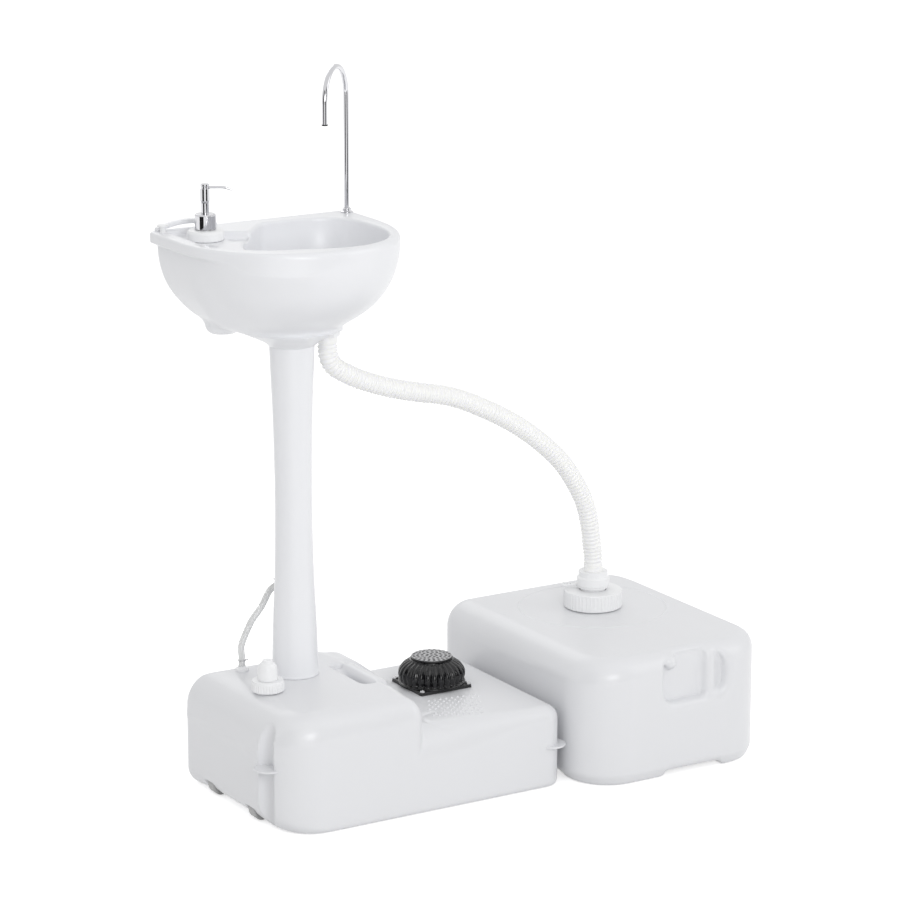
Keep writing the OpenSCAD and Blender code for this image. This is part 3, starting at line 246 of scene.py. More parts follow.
def polygon(u, v, points):
    """Distance to a polygon whose points run round it."""
    best = np.full(np.broadcast(u, v).shape, 1e18)
    inside = np.zeros(best.shape, bool)
    for (ax, ay), (bx, by) in zip(points, points[1:] + points[:1]):
        ex, ey = bx - ax, by - ay
        t = np.clip(((u - ax) * ex + (v - ay) * ey) / (ex * ex + ey * ey), 0, 1)
        best = np.minimum(best, (u - ax - ex * t) ** 2 + (v - ay - ey * t) ** 2)
        if ay != by:
            inside ^= ((ay > v) != (by > v)) & (u < ex * (v - ay) / ey + ax)
    return np.where(inside, -1.0, 1.0) * np.sqrt(best)


def net(field, low, high, step):
    """Closed quad mesh of the surface where the field is zero, pulled on to it."""
    low, high = np.array(low, float), np.array(high, float)
    count = np.ceil((high - low) / step).astype(int) + 1
    axes = [low[i] + step * np.arange(count[i]) for i in range(3)]
    v = np.ascontiguousarray(np.broadcast_to(
        field(*np.meshgrid(*axes, indexing="ij", sparse=True)), tuple(count)))
    inside = v < 0
    cells = tuple(count - 1)
    total = np.zeros(cells, np.int8)
    corners = [(i, j, k) for i in (0, 1) for j in (0, 1) for k in (0, 1)]
    for i, j, k in corners:
        total += inside[i:i + cells[0], j:j + cells[1], k:k + cells[2]]
    at = np.argwhere((total > 0) & (total < 8))
    index = np.full(cells, -1, np.int64)
    index[tuple(at.T)] = np.arange(len(at))
    value = {c: v[tuple((at + c).T)] for c in corners}
    sums, hits = np.zeros((len(at), 3)), np.zeros(len(at))
    for a in corners:
        for axis in range(3):
            if a[axis]:
                continue
            b = tuple(1 if i == axis else a[i] for i in range(3))
            cut = (value[a] < 0) != (value[b] < 0)
            t = value[a][cut] / (value[a][cut] - value[b][cut])
            place = np.tile(np.array(a, float), (len(t), 1))
            place[:, axis] += t
            sums[cut] += place
            hits[cut] += 1
    p = low + (at + sums / hits[:, None]) * step
    for _ in range(4):
        p -= pull(field, p, 0.5 * step)
    faces = []
    for axis in range(3):
        b, c = (axis + 1) % 3, (axis + 2) % 3
        near = np.moveaxis(inside, axis, 0)
        cut = np.moveaxis(near[:-1] != near[1:], 0, axis)
        edge = np.argwhere(cut)
        for side in (b, c):
            edge = edge[(edge[:, side] > 0) & (edge[:, side] < cells[side])]
        quad = []
        for db, dc in ((1, 1), (0, 1), (0, 0), (1, 0)):
            cell = edge.copy()
            cell[:, b] -= db
            cell[:, c] -= dc
            quad.append(index[tuple(cell.T)])
        quad = np.stack(quad, 1)
        turned = ~inside[tuple(edge.T)]
        quad[turned] = quad[turned][:, ::-1]
        faces.append(quad)
    return p, np.concatenate(faces)


def pull(field, p, limit):
    """Step that takes points on to the field's surface."""
    x, y, z = p.T
    f = field(x, y, z)
    e = 0.2
    g = np.stack([field(x + e, y, z) - field(x - e, y, z), field(x, y + e, z) - field(x, y - e, z),
                  field(x, y, z + e) - field(x, y, z - e)], 1) / (2 * e)
    step = g * (f / np.maximum((g ** 2).sum(1), 0.05))[:, None]
    size = np.linalg.norm(step, axis=1)
    return step * np.minimum(1, limit / np.maximum(size, 1e-9))[:, None]


# ---------- turned and swept shapes ----------

def soften(points, radius, loop=False, steps=4):
    """Rounds the corners of a profile, with a support point on either side of each."""
    points = [np.array(p, float) for p in points]
    out, n = [], len(points)
    for i, p in enumerate(points):
        if not loop and i in (0, n - 1):
            out.append(p)
            continue
        a, b = points[i - 1] - p, points[(i + 1) % n] - p
        la, lb = np.linalg.norm(a), np.linalg.norm(b)
        a, b = a / la, b / lb
        angle = math.acos(max(-1, min(1, float(a @ b))))
        if math.pi - angle < 0.3:
            out.append(p)
            continue
        size = min(radius / math.tan(angle / 2), 0.42 * la, 0.42 * lb)
        start, end = p + a * size, p + b * size
        near = min(0.4 * size, 0.5)
        if la * 0.5 > size + near:
            out.append(start + a * near)
        for t in np.linspace(0, 1, steps + 1):
            out.append((1 - t) ** 2 * start + 2 * t * (1 - t) * p + t * t * end)
        if lb * 0.5 > size + near:
            out.append(end + b * near)
    return out


def lathe(profile, x, y, sides=96, corner=0.6, loop=False, shape=None):
    """Turns a profile of radius and height about an upright line; shape may vary the radius."""
    line = soften(profile, corner, loop) if corner else [np.array(p, float) for p in profile]
    angle = np.arange(sides) * 2 * math.pi / sides
    points, rows = [], []
    for r, z in line:
        if r < 1e-6 and not loop:
            rows.append([len(points)])
            points.append((x, y, z))
        else:
            ring = r + (shape(angle, r, z) if shape else 0 * angle)
            rows.append(list(range(len(points), len(points) + sides)))
            points += zip(x + ring * np.cos(angle), y + ring * np.sin(angle), [z] * sides)
    return np.array(points, float), bridge(rows, loop)


def bridge(rows, loop=False):
    """Faces between rows of points; a row of one point is a pole."""
    faces = []
    pairs = list(zip(rows, rows[1:])) + ([(rows[-1], rows[0])] if loop else [])
    for a, b in pairs:
        n = max(len(a), len(b))
        for k in range(n):
            m = (k + 1) % n
            if len(a) == 1:
                faces.append((a[0], b[m], b[k]))
            elif len(b) == 1:
                faces.append((a[k], a[m], b[0]))
            else:
                faces.append((a[k], a[m], b[m], b[k]))
    return faces


def thread(root, crest, z, start):
    """Profile of two thread turns on a neck, 4 mm apart, from height z up."""
    turn = ((root, 0), (crest, start), (crest, 1.6), (root, 2.4))
    return [(r, z + up + 4 * k) for k in range(2) for r, up in turn]


def lying(shape, x, y, z):
    """Lays an upright turned shape down, with its height towards the back, and moves it."""
    points, faces = shape
    return np.stack([x + points[:, 0], y + points[:, 2], z - points[:, 1]], 1), faces


def curve_through(points, steps):
    """Fine points on the smooth curve through a route."""
    p = [np.array(q, float) for q in points]
    p = [2 * p[0] - p[1]] + p + [2 * p[-1] - p[-2]]
    out = []
    for a, b, c, d in zip(p, p[1:], p[2:], p[3:]):
        for t in np.arange(steps) / steps:
            out.append(0.5 * (2 * b + (c - a) * t + (2 * a - 5 * b + 4 * c - d) * t ** 2
                              + (3 * b - a - 3 * c + d) * t ** 3))
    return np.array(out + [p[-2]])


def frames(path):
    """Two cross directions at each point of a path, turned as little as possible."""
    way = np.gradient(path, axis=0)
    way /= np.linalg.norm(way, axis=1)[:, None]
    side = np.cross(way[0], [0.31, 0.9, 0.2])
    out = []
    for w in way:
        side = side - w * (side @ w)
        side = side / np.linalg.norm(side)
        out.append((side, np.cross(w, side)))
    return out


def tube(path, radius, sides=24, bore=0):
    """Tube along a path, with rounded closed ends, or hollow where a bore is given."""
    path = np.array(path, float)
    radius = np.broadcast_to(np.array(radius, float), (len(path),))
    angle = np.arange(sides) * 2 * math.pi / sides
    points, rows = [], []

    def add_row(centre, side, up, r):
        rows.append(list(range(len(points), len(points) + sides)))
        points.extend(centre + r * (side * math.cos(t) + up * math.sin(t)) for t in angle)

    cross = frames(path)
    for (side, up), centre, r in zip(cross, path, radius):
        add_row(centre, side, up, r)
    if bore:
        for (side, up), centre in list(zip(cross, path))[::-1]:
            add_row(centre, side, up, bore)
        return np.array(points), bridge(rows, True)
    for end in (0, -1):
        points.append(path[end])
    return np.array(points), bridge([[len(points) - 2]] + rows + [[len(points) - 1]])


def joined(*parts):
    """Several meshes as one."""
    points, faces, base = [], [], 0
    for p, f in parts:
        points.append(np.array(p, float))
        faces += [tuple(int(i) + base for i in face) for face in f]
        base += len(p)
    return np.concatenate(points), faces


def bar(xr, yr, zr, r, steps=3):
    """Box with rounded edges, from a lathe of four quarter turns stretched to its sides."""
    half = [(b - a) / 2 - r for a, b in (xr, yr)]
    middle = [(a + b) / 2 for a, b in (xr, yr)]
    turn = [(k + j / steps) * math.pi / 2 for k in range(4) for j in range(steps + 1)]
    line = [(0, zr[0])] + [(r * math.sin(t), zr[0] + r - r * math.cos(t))
                           for t in np.linspace(0, math.pi / 2, steps + 1)]
    line += [(q, zr[1] + zr[0] - z) for q, z in line[::-1]]
    points, rows = [], []
    for q, z in line:
        if q == 0 and (z in (zr[0], zr[1])) and (not rows or len(rows) == len(line) - 1):
            rows.append([len(points)])
            points.append((middle[0], middle[1], z))
            continue
        rows.append(list(range(len(points), len(points) + len(turn))))
        for i, t in enumerate(turn):
            quarter = i // (steps + 1)
            sx, sy = (1, -1, -1, 1)[quarter], (1, 1, -1, -1)[quarter]
            points.append((middle[0] + sx * half[0] + q * math.cos(t),
                           middle[1] + sy * half[1] + q * math.sin(t), z))
    return np.array(points), bridge(rows)


# ---------- pieces ----------

def make_mesh(name, points, faces, outward):
    mesh = bpy.data.meshes.new(name)
    mesh.from_pydata((np.array(points) * MM).tolist(), [], [tuple(map(int, f)) for f in faces])
    work = bmesh.new()
    work.from_mesh(mesh)
    if outward:
        bmesh.ops.remove_doubles(work, verts=work.verts, dist=1e-6)
        bmesh.ops.recalc_face_normals(work, faces=work.faces)
    work.to_mesh(mesh)
    work.free()
    return mesh


def add_piece(name, shape, finish, body=STAND, stands_for=(), crease=38, outward=True):
    """Makes a piece of a shape in millimetres, gives it its finish and lets it ride on a body."""
    mesh = shape if isinstance(shape, bpy.types.Mesh) else make_mesh(name, *shape, outward)
    mesh.name = name
    mesh.shade_smooth()
    mesh.set_sharp_from_angle(angle=math.radians(crease))
    piece = bpy.data.objects.new(name, mesh)
    bpy.context.scene.collection.objects.link(piece)
    mesh.materials.clear()
    mesh.materials.append(finish)
    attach(piece, body)
    if stands_for:
        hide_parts(*stands_for)
    return piece


def finish_node(name, finish):
    """Gives a CAD node that stays its own finish."""
    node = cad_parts[name]
    if not node.material_slots:
        node.data.materials.append(finish)
    for place in node.material_slots:
        place.material = finish


# ---------- geometry node trees ----------

class Tree:
    """Small helper that builds a geometry node tree with named inputs."""

    def __init__(self, name, inputs):
        self.tree = bpy.data.node_groups.new(name, "GeometryNodeTree")
        self.tree.interface.new_socket("Geometry", in_out="INPUT", socket_type="NodeSocketGeometry")
        for label, kind in inputs:
            self.tree.interface.new_socket(label, in_out="INPUT", socket_type=f"NodeSocket{kind}")
        self.tree.interface.new_socket("Geometry", in_out="OUTPUT", socket_type="NodeSocketGeometry")
        self.start = self.tree.nodes.new("NodeGroupInput")
        self.end = self.tree.nodes.new("NodeGroupOutput")

    def add(self, kind, **values):
        node = self.tree.nodes.new(kind)
        for key, value in values.items():
            setattr(node, key, value)
        return node

    def link(self, source, target):
        self.tree.links.new(source, target)

    def math(self, operation, *values):
        node = self.add("ShaderNodeMath", operation=operation)
        for socket, value in zip(node.inputs, values):
            if isinstance(value, (int, float)):
                socket.default_value = value
            else:
                self.link(value, socket)
        return node.outputs[0]

    def close(self, geometry):
        """Ends the tree in Realize Instances and Set Material."""
        real = self.add("GeometryNodeRealizeInstances")
        paint = self.add("GeometryNodeSetMaterial")
        self.link(geometry, real.inputs["Geometry"])
        self.link(real.outputs["Geometry"], paint.inputs["Geometry"])
        self.link(self.start.outputs["Material"], paint.inputs["Material"])
        self.link(paint.outputs["Geometry"], self.end.inputs["Geometry"])
        return self.tree


def ribs_tree():
    t = Tree("Ribs round a cap", [("Count", "Int"), ("Radius", "Float"), ("Rib Size", "Vector"),
                                  ("Centre", "Vector"), ("Material", "Material")])
    put = t.start.outputs
    ring = t.add("GeometryNodeMeshCircle")
    t.link(put["Count"], ring.inputs["Vertices"])
    t.link(put["Radius"], ring.inputs["Radius"])
    rib = t.add("GeometryNodeMeshCylinder")
    rib.inputs["Vertices"].default_value = 10
    rib.inputs["Radius"].default_value = 0.5
    rib.inputs["Depth"].default_value = 1.0
    place = t.add("GeometryNodeInputPosition")
    turn = t.add("FunctionNodeAlignRotationToVector", axis="X")
    t.link(place.outputs[0], turn.inputs["Vector"])
    copies = t.add("GeometryNodeInstanceOnPoints")
    t.link(ring.outputs["Mesh"], copies.inputs["Points"])
    t.link(rib.outputs["Mesh"], copies.inputs["Instance"])
    t.link(turn.outputs[0], copies.inputs["Rotation"])
    t.link(put["Rib Size"], copies.inputs["Scale"])
    move = t.add("GeometryNodeTransform")
    t.link(copies.outputs[0], move.inputs["Geometry"])
    t.link(put["Centre"], move.inputs["Translation"])
    return t.close(move.outputs[0])


def dots_tree():
    t = Tree("Raised dots", [("Dot Size", "Vector"), ("Material", "Material")])
    dot = t.add("GeometryNodeMeshUVSphere")
    dot.inputs["Segments"].default_value = 10
    dot.inputs["Rings"].default_value = 6
    dot.inputs["Radius"].default_value = 0.5
    copies = t.add("GeometryNodeInstanceOnPoints")
    t.link(t.start.outputs["Geometry"], copies.inputs["Points"])
    t.link(dot.outputs["Mesh"], copies.inputs["Instance"])
    t.link(t.start.outputs["Dot Size"], copies.inputs["Scale"])
    return t.close(copies.outputs[0])


def hose_tree():
    t = Tree("Ribbed hose", [("Radius", "Float"), ("Rib Depth", "Float"), ("Pitch", "Float"),
                             ("Plain End", "Float"), ("Material", "Material")])
    put = t.start.outputs
    line = t.add("GeometryNodeMeshToCurve")
    t.link(put["Geometry"], line.inputs["Mesh"])
    even = t.add("GeometryNodeResampleCurve", mode="LENGTH")
    t.link(line.outputs[0], even.inputs["Curve"])
    t.link(t.math("DIVIDE", put["Pitch"], 8.0), even.inputs["Length"])
    along = t.add("GeometryNodeSplineParameter").outputs["Length"]
    whole = t.add("GeometryNodeSplineLength").outputs["Length"]
    turn = t.math("MULTIPLY", t.math("DIVIDE", along, put["Pitch"]), 2 * math.pi)
    wave = t.math("POWER", t.math("MULTIPLY_ADD", t.math("COSINE", turn), 0.5, 0.5), 0.8)
    from_end = t.math("MINIMUM", along, t.math("SUBTRACT", whole, along))
    ribbed = t.math("GREATER_THAN", from_end, put["Plain End"])
    drop = t.math("MULTIPLY", t.math("MULTIPLY", wave, put["Rib Depth"]), ribbed)
    width = t.math("SUBTRACT", put["Radius"], drop)
    thick = t.add("GeometryNodeSetCurveRadius")
    t.link(even.outputs[0], thick.inputs["Curve"])
    t.link(width, thick.inputs["Radius"])
    round_line = t.add("GeometryNodeCurvePrimitiveCircle")
    round_line.inputs["Resolution"].default_value = 40
    round_line.inputs["Radius"].default_value = 1.0
    skin = t.add("GeometryNodeCurveToMesh")
    t.link(thick.outputs[0], skin.inputs["Curve"])
    t.link(round_line.outputs[0], skin.inputs["Profile Curve"])
    skin.inputs["Fill Caps"].default_value = True
    if "Scale" in skin.inputs:
        t.link(width, skin.inputs["Scale"])
    return t.close(skin.outputs[0])


def coil_tree():
    t = Tree("Coil spring", [("Radius", "Float"), ("Wire", "Float"), ("Height", "Float"),
                             ("Turns", "Float"), ("Centre", "Vector"), ("Material", "Material")])
    put = t.start.outputs
    line = t.add("GeometryNodeCurveSpiral")
    line.inputs["Resolution"].default_value = 28
    t.link(put["Turns"], line.inputs["Rotations"])
    t.link(put["Radius"], line.inputs["Start Radius"])
    t.link(put["Radius"], line.inputs["End Radius"])
    t.link(put["Height"], line.inputs["Height"])
    wire = t.add("GeometryNodeCurvePrimitiveCircle")
    wire.inputs["Resolution"].default_value = 10
    t.link(put["Wire"], wire.inputs["Radius"])
    skin = t.add("GeometryNodeCurveToMesh")
    t.link(line.outputs[0], skin.inputs["Curve"])
    t.link(wire.outputs[0], skin.inputs["Profile Curve"])
    skin.inputs["Fill Caps"].default_value = True
    move = t.add("GeometryNodeTransform")
    t.link(skin.outputs[0], move.inputs["Geometry"])
    t.link(put["Centre"], move.inputs["Translation"])
    return t.close(move.outputs[0])


TREES = {}


def grown(name, make_tree, values, base=None):
    """Runs a node tree on a base mesh and gives the result as a plain mesh."""
    if make_tree not in TREES:
        TREES[make_tree] = make_tree()
    tree = TREES[make_tree]
    start = base or bpy.data.meshes.new(name + "_start")
    if not base:
        start.from_pydata([(0, 0, 0)], [], [])
    seed = bpy.data.objects.new(name + "_start", start)
    bpy.context.scene.collection.objects.link(seed)
    step = seed.modifiers.new("grow", "NODES")
    step.node_group = tree
    names = {s.name: s.identifier for s in tree.interface.items_tree if s.in_out == "INPUT"}
    for label, value in values.items():
        step[names[label]] = value
    bpy.context.view_layer.update()
    ready = seed.evaluated_get(bpy.context.evaluated_depsgraph_get())
    mesh = bpy.data.meshes.new_from_object(ready)
    bpy.data.objects.remove(seed)
    bpy.data.meshes.remove(start)
    return mesh


def line_mesh(name, points):
    mesh = bpy.data.meshes.new(name)
    mesh.from_pydata((np.array(points) * MM).tolist(), [(i, i + 1) for i in range(len(points) - 1)], [])
    return mesh


# ---------- finishes ----------

def surface_group():
    """Moulded surface: fine grain, broad waviness and faint scuffs, as height and masks."""
    group = bpy.data.node_groups.get("Moulded surface")
    if group:
        return group
    group = bpy.data.node_groups.new("Moulded surface", "ShaderNodeTree")
    face = group.interface
    for label, value in (("Grain Scale", 900.0), ("Grain Height", 0.1), ("Wave Scale", 14.0),
                         ("Wave Height", 1.0)):
        socket = face.new_socket(label, in_out="INPUT", socket_type="NodeSocketFloat")
        socket.default_value = value
    for label in ("Height", "Mottle", "Scuff"):
        face.new_socket(label, in_out="OUTPUT", socket_type="NodeSocketFloat")
    add, link = group.nodes.new, group.links.new
    start, end = add("NodeGroupInput"), add("NodeGroupOutput")
    where = add("ShaderNodeTexCoord")

    def noise(scale, detail, rough=0.5):
        node = add("ShaderNodeTexNoise")
        link(where.outputs["Object"], node.inputs["Vector"])
        if isinstance(scale, float):
            node.inputs["Scale"].default_value = scale
        else:
            link(scale, node.inputs["Scale"])
        node.inputs["Detail"].default_value = detail
        node.inputs["Roughness"].default_value = rough
        return node.outputs["Fac"]

    def maths(kind, a, b):
        node = add("ShaderNodeMath")
        node.operation = kind
        for socket, value in zip(node.inputs, (a, b)):
            if isinstance(value, float):
                socket.default_value = value
            else:
                link(value, socket)
        return node.outputs[0]

    grain = maths("MULTIPLY", noise(start.outputs["Grain Scale"], 3.0), start.outputs["Grain Height"])
    wave = maths("MULTIPLY", noise(start.outputs["Wave Scale"], 2.0), start.outputs["Wave Height"])
    link(maths("ADD", grain, wave), end.inputs["Height"])
    link(noise(5.5, 4.0, 0.6), end.inputs["Mottle"])
    marks = add("ShaderNodeMapRange")
    link(noise(60.0, 6.0, 0.7), marks.inputs["Value"])
    marks.inputs["From Min"].default_value = 0.62
    marks.inputs["From Max"].default_value = 0.74
    link(marks.outputs["Result"], end.inputs["Scuff"])
    return group


def finish(name, colour, roughness, grain=(900.0, 0.1), wave=(14.0, 1.0), bump=0.12, mottle=0.03,
           spread=0.05, **plain):
    """Procedural finish on the moulded surface group; plain holds values set on the shader."""
    made = bpy.data.materials.get(name)
    if made:
        return made
    made = bpy.data.materials.new(name)
    made.use_nodes = True
    nodes, link = made.node_tree.nodes, made.node_tree.links.new
    shader = next(n for n in nodes if n.type == "BSDF_PRINCIPLED")
    group = nodes.new("ShaderNodeGroup")
    group.node_tree = surface_group()
    labels = ("Grain Scale", "Grain Height", "Wave Scale", "Wave Height")
    for label, value in zip(labels, (*grain, *wave)):
        group.inputs[label].default_value = value
    tint = nodes.new("ShaderNodeMix")
    tint.data_type = "RGBA"
    tint.inputs["A"].default_value = (*[min(1, c * (1 + mottle)) for c in colour], 1)
    tint.inputs["B"].default_value = (*[c * (1 - mottle) for c in colour], 1)
    link(group.outputs["Mottle"], tint.inputs["Factor"])
    link(tint.outputs["Result"], shader.inputs["Base Color"])
    gloss = nodes.new("ShaderNodeMapRange")
    link(group.outputs["Scuff"], gloss.inputs["Value"])
    gloss.inputs["To Min"].default_value = roughness
    gloss.inputs["To Max"].default_value = roughness + spread
    link(gloss.outputs["Result"], shader.inputs["Roughness"])
    dent = nodes.new("ShaderNodeBump")
    dent.inputs["Strength"].default_value = bump
    dent.inputs["Distance"].default_value = 0.002
    link(group.outputs["Height"], dent.inputs["Height"])
    link(dent.outputs["Normal"], shader.inputs["Normal"])
    for label, value in plain.items():
        shader.inputs[label.replace("_", " ").title().replace("Ior", "IOR")].default_value = value
    return made


def moulded_white():
    return finish("Blow-moulded white", colours().white, 0.30, grain=(700.0, 0.12), wave=(16.0, 1.0),
                  bump=0.16, mottle=0.012, spread=0.08)


def basin_white():
    return finish("Basin white", colours().basin, 0.30, grain=(900.0, 0.06), wave=(12.0, 0.8),
                  bump=0.10, mottle=0.010, spread=0.06)


def cap_white():
    return finish("Cap white", colours().cap_white, 0.34, grain=(1200.0, 0.06), wave=(30.0, 0.3),
                  bump=0.10, mottle=0.01, spread=0.05)


def milky():
    return finish("Milky hose", colours().milky, 0.34, grain=(1500.0, 0.02), wave=(60.0, 0.2),
                  bump=0.03, mottle=0.005, subsurface_weight=0.2,
                  subsurface_radius=(0.006, 0.006, 0.005))


def clear():
    return finish("Clear hose", (0.95, 0.955, 0.955), 0.24, grain=(1500.0, 0.03), wave=(50.0, 0.2),
                  bump=0.04, mottle=0.005, transmission_weight=0.35, ior=1.42)


def black_rubber():
    return finish("Bellows rubber", colours().black, 0.17, grain=(1400.0, 0.08), wave=(40.0, 0.4),
                  bump=0.15, mottle=0.1, spread=0.15)


def dark_rubber():
    return finish("Dark rubber", (0.03, 0.03, 0.032), 0.6, grain=(1500.0, 0.2), bump=0.3, mottle=0.1)


def grey_rubber():
    return finish("Grey rubber", (0.28, 0.28, 0.29), 0.6, grain=(1500.0, 0.2), bump=0.3, mottle=0.05)


def wheel_grey():
    return finish("Wheel grey", (0.46, 0.46, 0.46), 0.45, grain=(1500.0, 0.15), bump=0.2, mottle=0.04)


def black_plastic():
    return finish("Black plastic", (0.015, 0.015, 0.016), 0.32, grain=(1300.0, 0.12), bump=0.2,
                  mottle=0.1)


def steel():
    return finish("Plain steel", (0.60, 0.60, 0.61), 0.26, grain=(1600.0, 0.1), wave=(80.0, 0.2),
                  bump=0.1, mottle=0.06, spread=0.2, metallic=1.0)


def chrome():
    return finish("Bright chrome", (0.62, 0.62, 0.64), 0.07, grain=(1500.0, 0.01), wave=(60.0, 0.05),
                  bump=0.04, mottle=0.01, spread=0.05, metallic=1.0)


def tread_finish_painted_sheen():
    """Tread of black rubber whose top is painted grey, a painted sheen that stands for the bright
    surroundings mirrored in it. Its dimples keep the rubber's own black: the colour follows the height
    in them.
    """
    made = finish("Dimpled tread painted sheen", colours().tread, 0.34, grain=(1300.0, 0.15), bump=0.25, mottle=0.12)
    nodes, link = made.node_tree.nodes, made.node_tree.links.new
    shader = next(n for n in nodes if n.type == "BSDF_PRINCIPLED")
    top = node_box("pump_tread")[1][2] * MM
    where, split = nodes.new("ShaderNodeTexCoord"), nodes.new("ShaderNodeSeparateXYZ")
    level = nodes.new("ShaderNodeMapRange")
    paint = nodes.new("ShaderNodeMix")
    paint.data_type = "RGBA"
    link(where.outputs["Object"], split.inputs[0])
    link(split.outputs["Z"], level.inputs["Value"])
    level.inputs["From Min"].default_value = top - 0.0007
    level.inputs["From Max"].default_value = top - 0.0002
    link(level.outputs["Result"], paint.inputs["Factor"])
    # Above the dimples the grey painted sheen shows; in them the rubber keeps its own black.
    old = shader.inputs["Base Color"].links[0].from_socket
    paint.inputs["A"].default_value = (0.006, 0.006, 0.007, 1)
    link(old, paint.inputs["B"])
    link(paint.outputs["Result"], shader.inputs["Base Color"])
    return made


# ---------- builders ----------

def build_camera():
    data = bpy.data.cameras.new("Camera")
    camera = bpy.data.objects.new("Camera", data)
    bpy.context.scene.collection.objects.link(camera)
    camera.location = (-2.339, -4.272, 1.732)
    pitch = math.radians(14.2285)
    way = Vector((0.5195 * math.cos(pitch), 0.8545 * math.cos(pitch), -math.sin(pitch)))
    camera.rotation_euler = way.to_track_quat("-Z", "Y").to_euler()
    data.sensor_width = 36
    data.lens = 3573 / 900 * 36
    bpy.context.scene.camera = camera


def build_hoses():
    s = sizes()
    route = curve_through(DRAIN_ROUTE, 10)
    mesh = grown("drain_hose", hose_tree, {
        "Radius": DRAIN_HOSE_R * MM, "Rib Depth": s.hose_depth, "Pitch": s.hose_pitch,
        "Plain End": 0.008, "Material": milky()}, line_mesh("drain_line", route))
    drain = add_piece("drain_hose_ribbed", mesh, milky(), stands_for=["drain_hose"], crease=80)
    route = curve_through(SUPPLY_ROUTE, 8)
    supply = add_piece("supply_hose_clear", tube(route, SUPPLY_R, 28, SUPPLY_BORE), clear(),
                       stands_for=["supply_hose"], crease=60)


def seen_rays(nodes, link):
    """One where a ray comes from the camera, a mirror or clear plastic, and zero elsewhere."""
    rays = nodes.new("ShaderNodeLightPath")
    seen = rays.outputs["Is Camera Ray"]
    for kind in ("Is Glossy Ray", "Is Transmission Ray"):
        most = nodes.new("ShaderNodeMath")
        most.operation = "MAXIMUM"
        link(seen, most.inputs[0])
        link(rays.outputs[kind], most.inputs[1])
        seen = most.outputs[0]
    return seen


def floor_paint():
    """Matt pale floor with a glow that only the camera, mirrors and clear plastic see."""
    paint = bpy.data.materials.new("Pale floor")
    paint.use_nodes = True
    nodes, link = paint.node_tree.nodes, paint.node_tree.links.new
    nodes.clear()
    out, both = nodes.new("ShaderNodeOutputMaterial"), nodes.new("ShaderNodeAddShader")
    matt, glow = nodes.new("ShaderNodeBsdfDiffuse"), nodes.new("ShaderNodeEmission")
    level = nodes.new("ShaderNodeMath")
    level.operation = "MULTIPLY"
    level.inputs[1].default_value = 0.62
    matt.inputs["Color"].default_value = (0.80, 0.80, 0.80, 1)
    link(seen_rays(nodes, link), level.inputs[0])
    link(level.outputs[0], glow.inputs["Strength"])
    link(matt.outputs[0], both.inputs[0])
    link(glow.outputs[0], both.inputs[1])
    link(both.outputs[0], out.inputs["Surface"])
    return paint


def build_surroundings():
    world = bpy.data.worlds.new("Studio")
    bpy.context.scene.world = world
    world.use_nodes = True
    nodes, link = world.node_tree.nodes, world.node_tree.links.new
    back = next(n for n in nodes if n.type == "BACKGROUND")
    back.inputs["Color"].default_value = (1, 1, 1, 1)
    level = nodes.new("ShaderNodeMapRange")
    level.inputs["To Min"].default_value = 0.73
    level.inputs["To Max"].default_value = 1.0
    link(seen_rays(nodes, link), level.inputs["Value"])
    link(level.outputs["Result"], back.inputs["Strength"])


def build_stage():
    scene = bpy.context.scene
    scene.view_settings.view_transform = "Standard"
    mesh = bpy.data.meshes.new("floor")
    mesh.from_pydata([(-9, -9, -0.0005), (9, -9, -0.0005), (9, 9, -0.0005), (-9, 9, -0.0005)], [],
                     [(0, 1, 2, 3)])
    floor = bpy.data.objects.new("floor", mesh)
    scene.collection.objects.link(floor)
    mesh.materials.append(floor_paint())
    build_surroundings()
    lamps = (("Key", (-0.7, -3.6, 1.8), 38, 1.4), ("Fill", (2.6, -1.6, 2.0), 8, 1.6),
             ("Back", (0.6, 2.6, 2.4), 10, 1.8))
    for name, place, power, size in lamps:
        light = bpy.data.lights.new(name, "AREA")
        light.energy, light.size = power, size
        lamp = bpy.data.objects.new(name, light)
        lamp.location = place
        aim = Vector((0.2, 0, 0.35)) - Vector(place)
        lamp.rotation_euler = aim.to_track_quat("-Z", "Y").to_euler()
        scene.collection.objects.link(lamp)
    # Dark cards that only shiny surfaces mirror
    dark = bpy.data.materials.new("Dark card")
    dark.use_nodes = True
    shade = next(n for n in dark.node_tree.nodes if n.type == "BSDF_PRINCIPLED")
    shade.inputs["Base Color"].default_value = (0.01, 0.01, 0.01, 1)
    shade.inputs["Roughness"].default_value = 1.0
    wide, high = 1.7, 2.6
    for name, x, y in (("card_left", -1.97, -0.72), ("card_right", 0.6, -2.22)):
        mesh = bpy.data.meshes.new(name)
        across = Vector((-y, x, 0)).normalized() * wide / 2
        mesh.from_pydata([(x - across.x, y - across.y, 0.0), (x + across.x, y + across.y, 0.0),
                          (x + across.x, y + across.y, high), (x - across.x, y - across.y, high)], [],
                         [(0, 1, 2, 3)])
        card = bpy.data.objects.new(name, mesh)
        scene.collection.objects.link(card)
        mesh.materials.append(dark)
        card.visible_camera = card.visible_diffuse = card.visible_shadow = False
        card.visible_transmission = card.visible_volume_scatter = False


def wheel_well(x, y, z, low, high):
    """Arched space round one wheel, open below."""
    r = (high[0] - low[0]) / 2 + WELL_GAP
    side = np.abs(x - (low[0] + high[0]) / 2)
    above = z - high[2] + r - WELL_GAP
    arch = np.where(above > 0, np.hypot(side, above), side) - r
    return np.maximum(arch, np.abs(y - (low[1] + high[1]) / 2) - (high[1] - low[1]) / 2 - WELL_GAP)


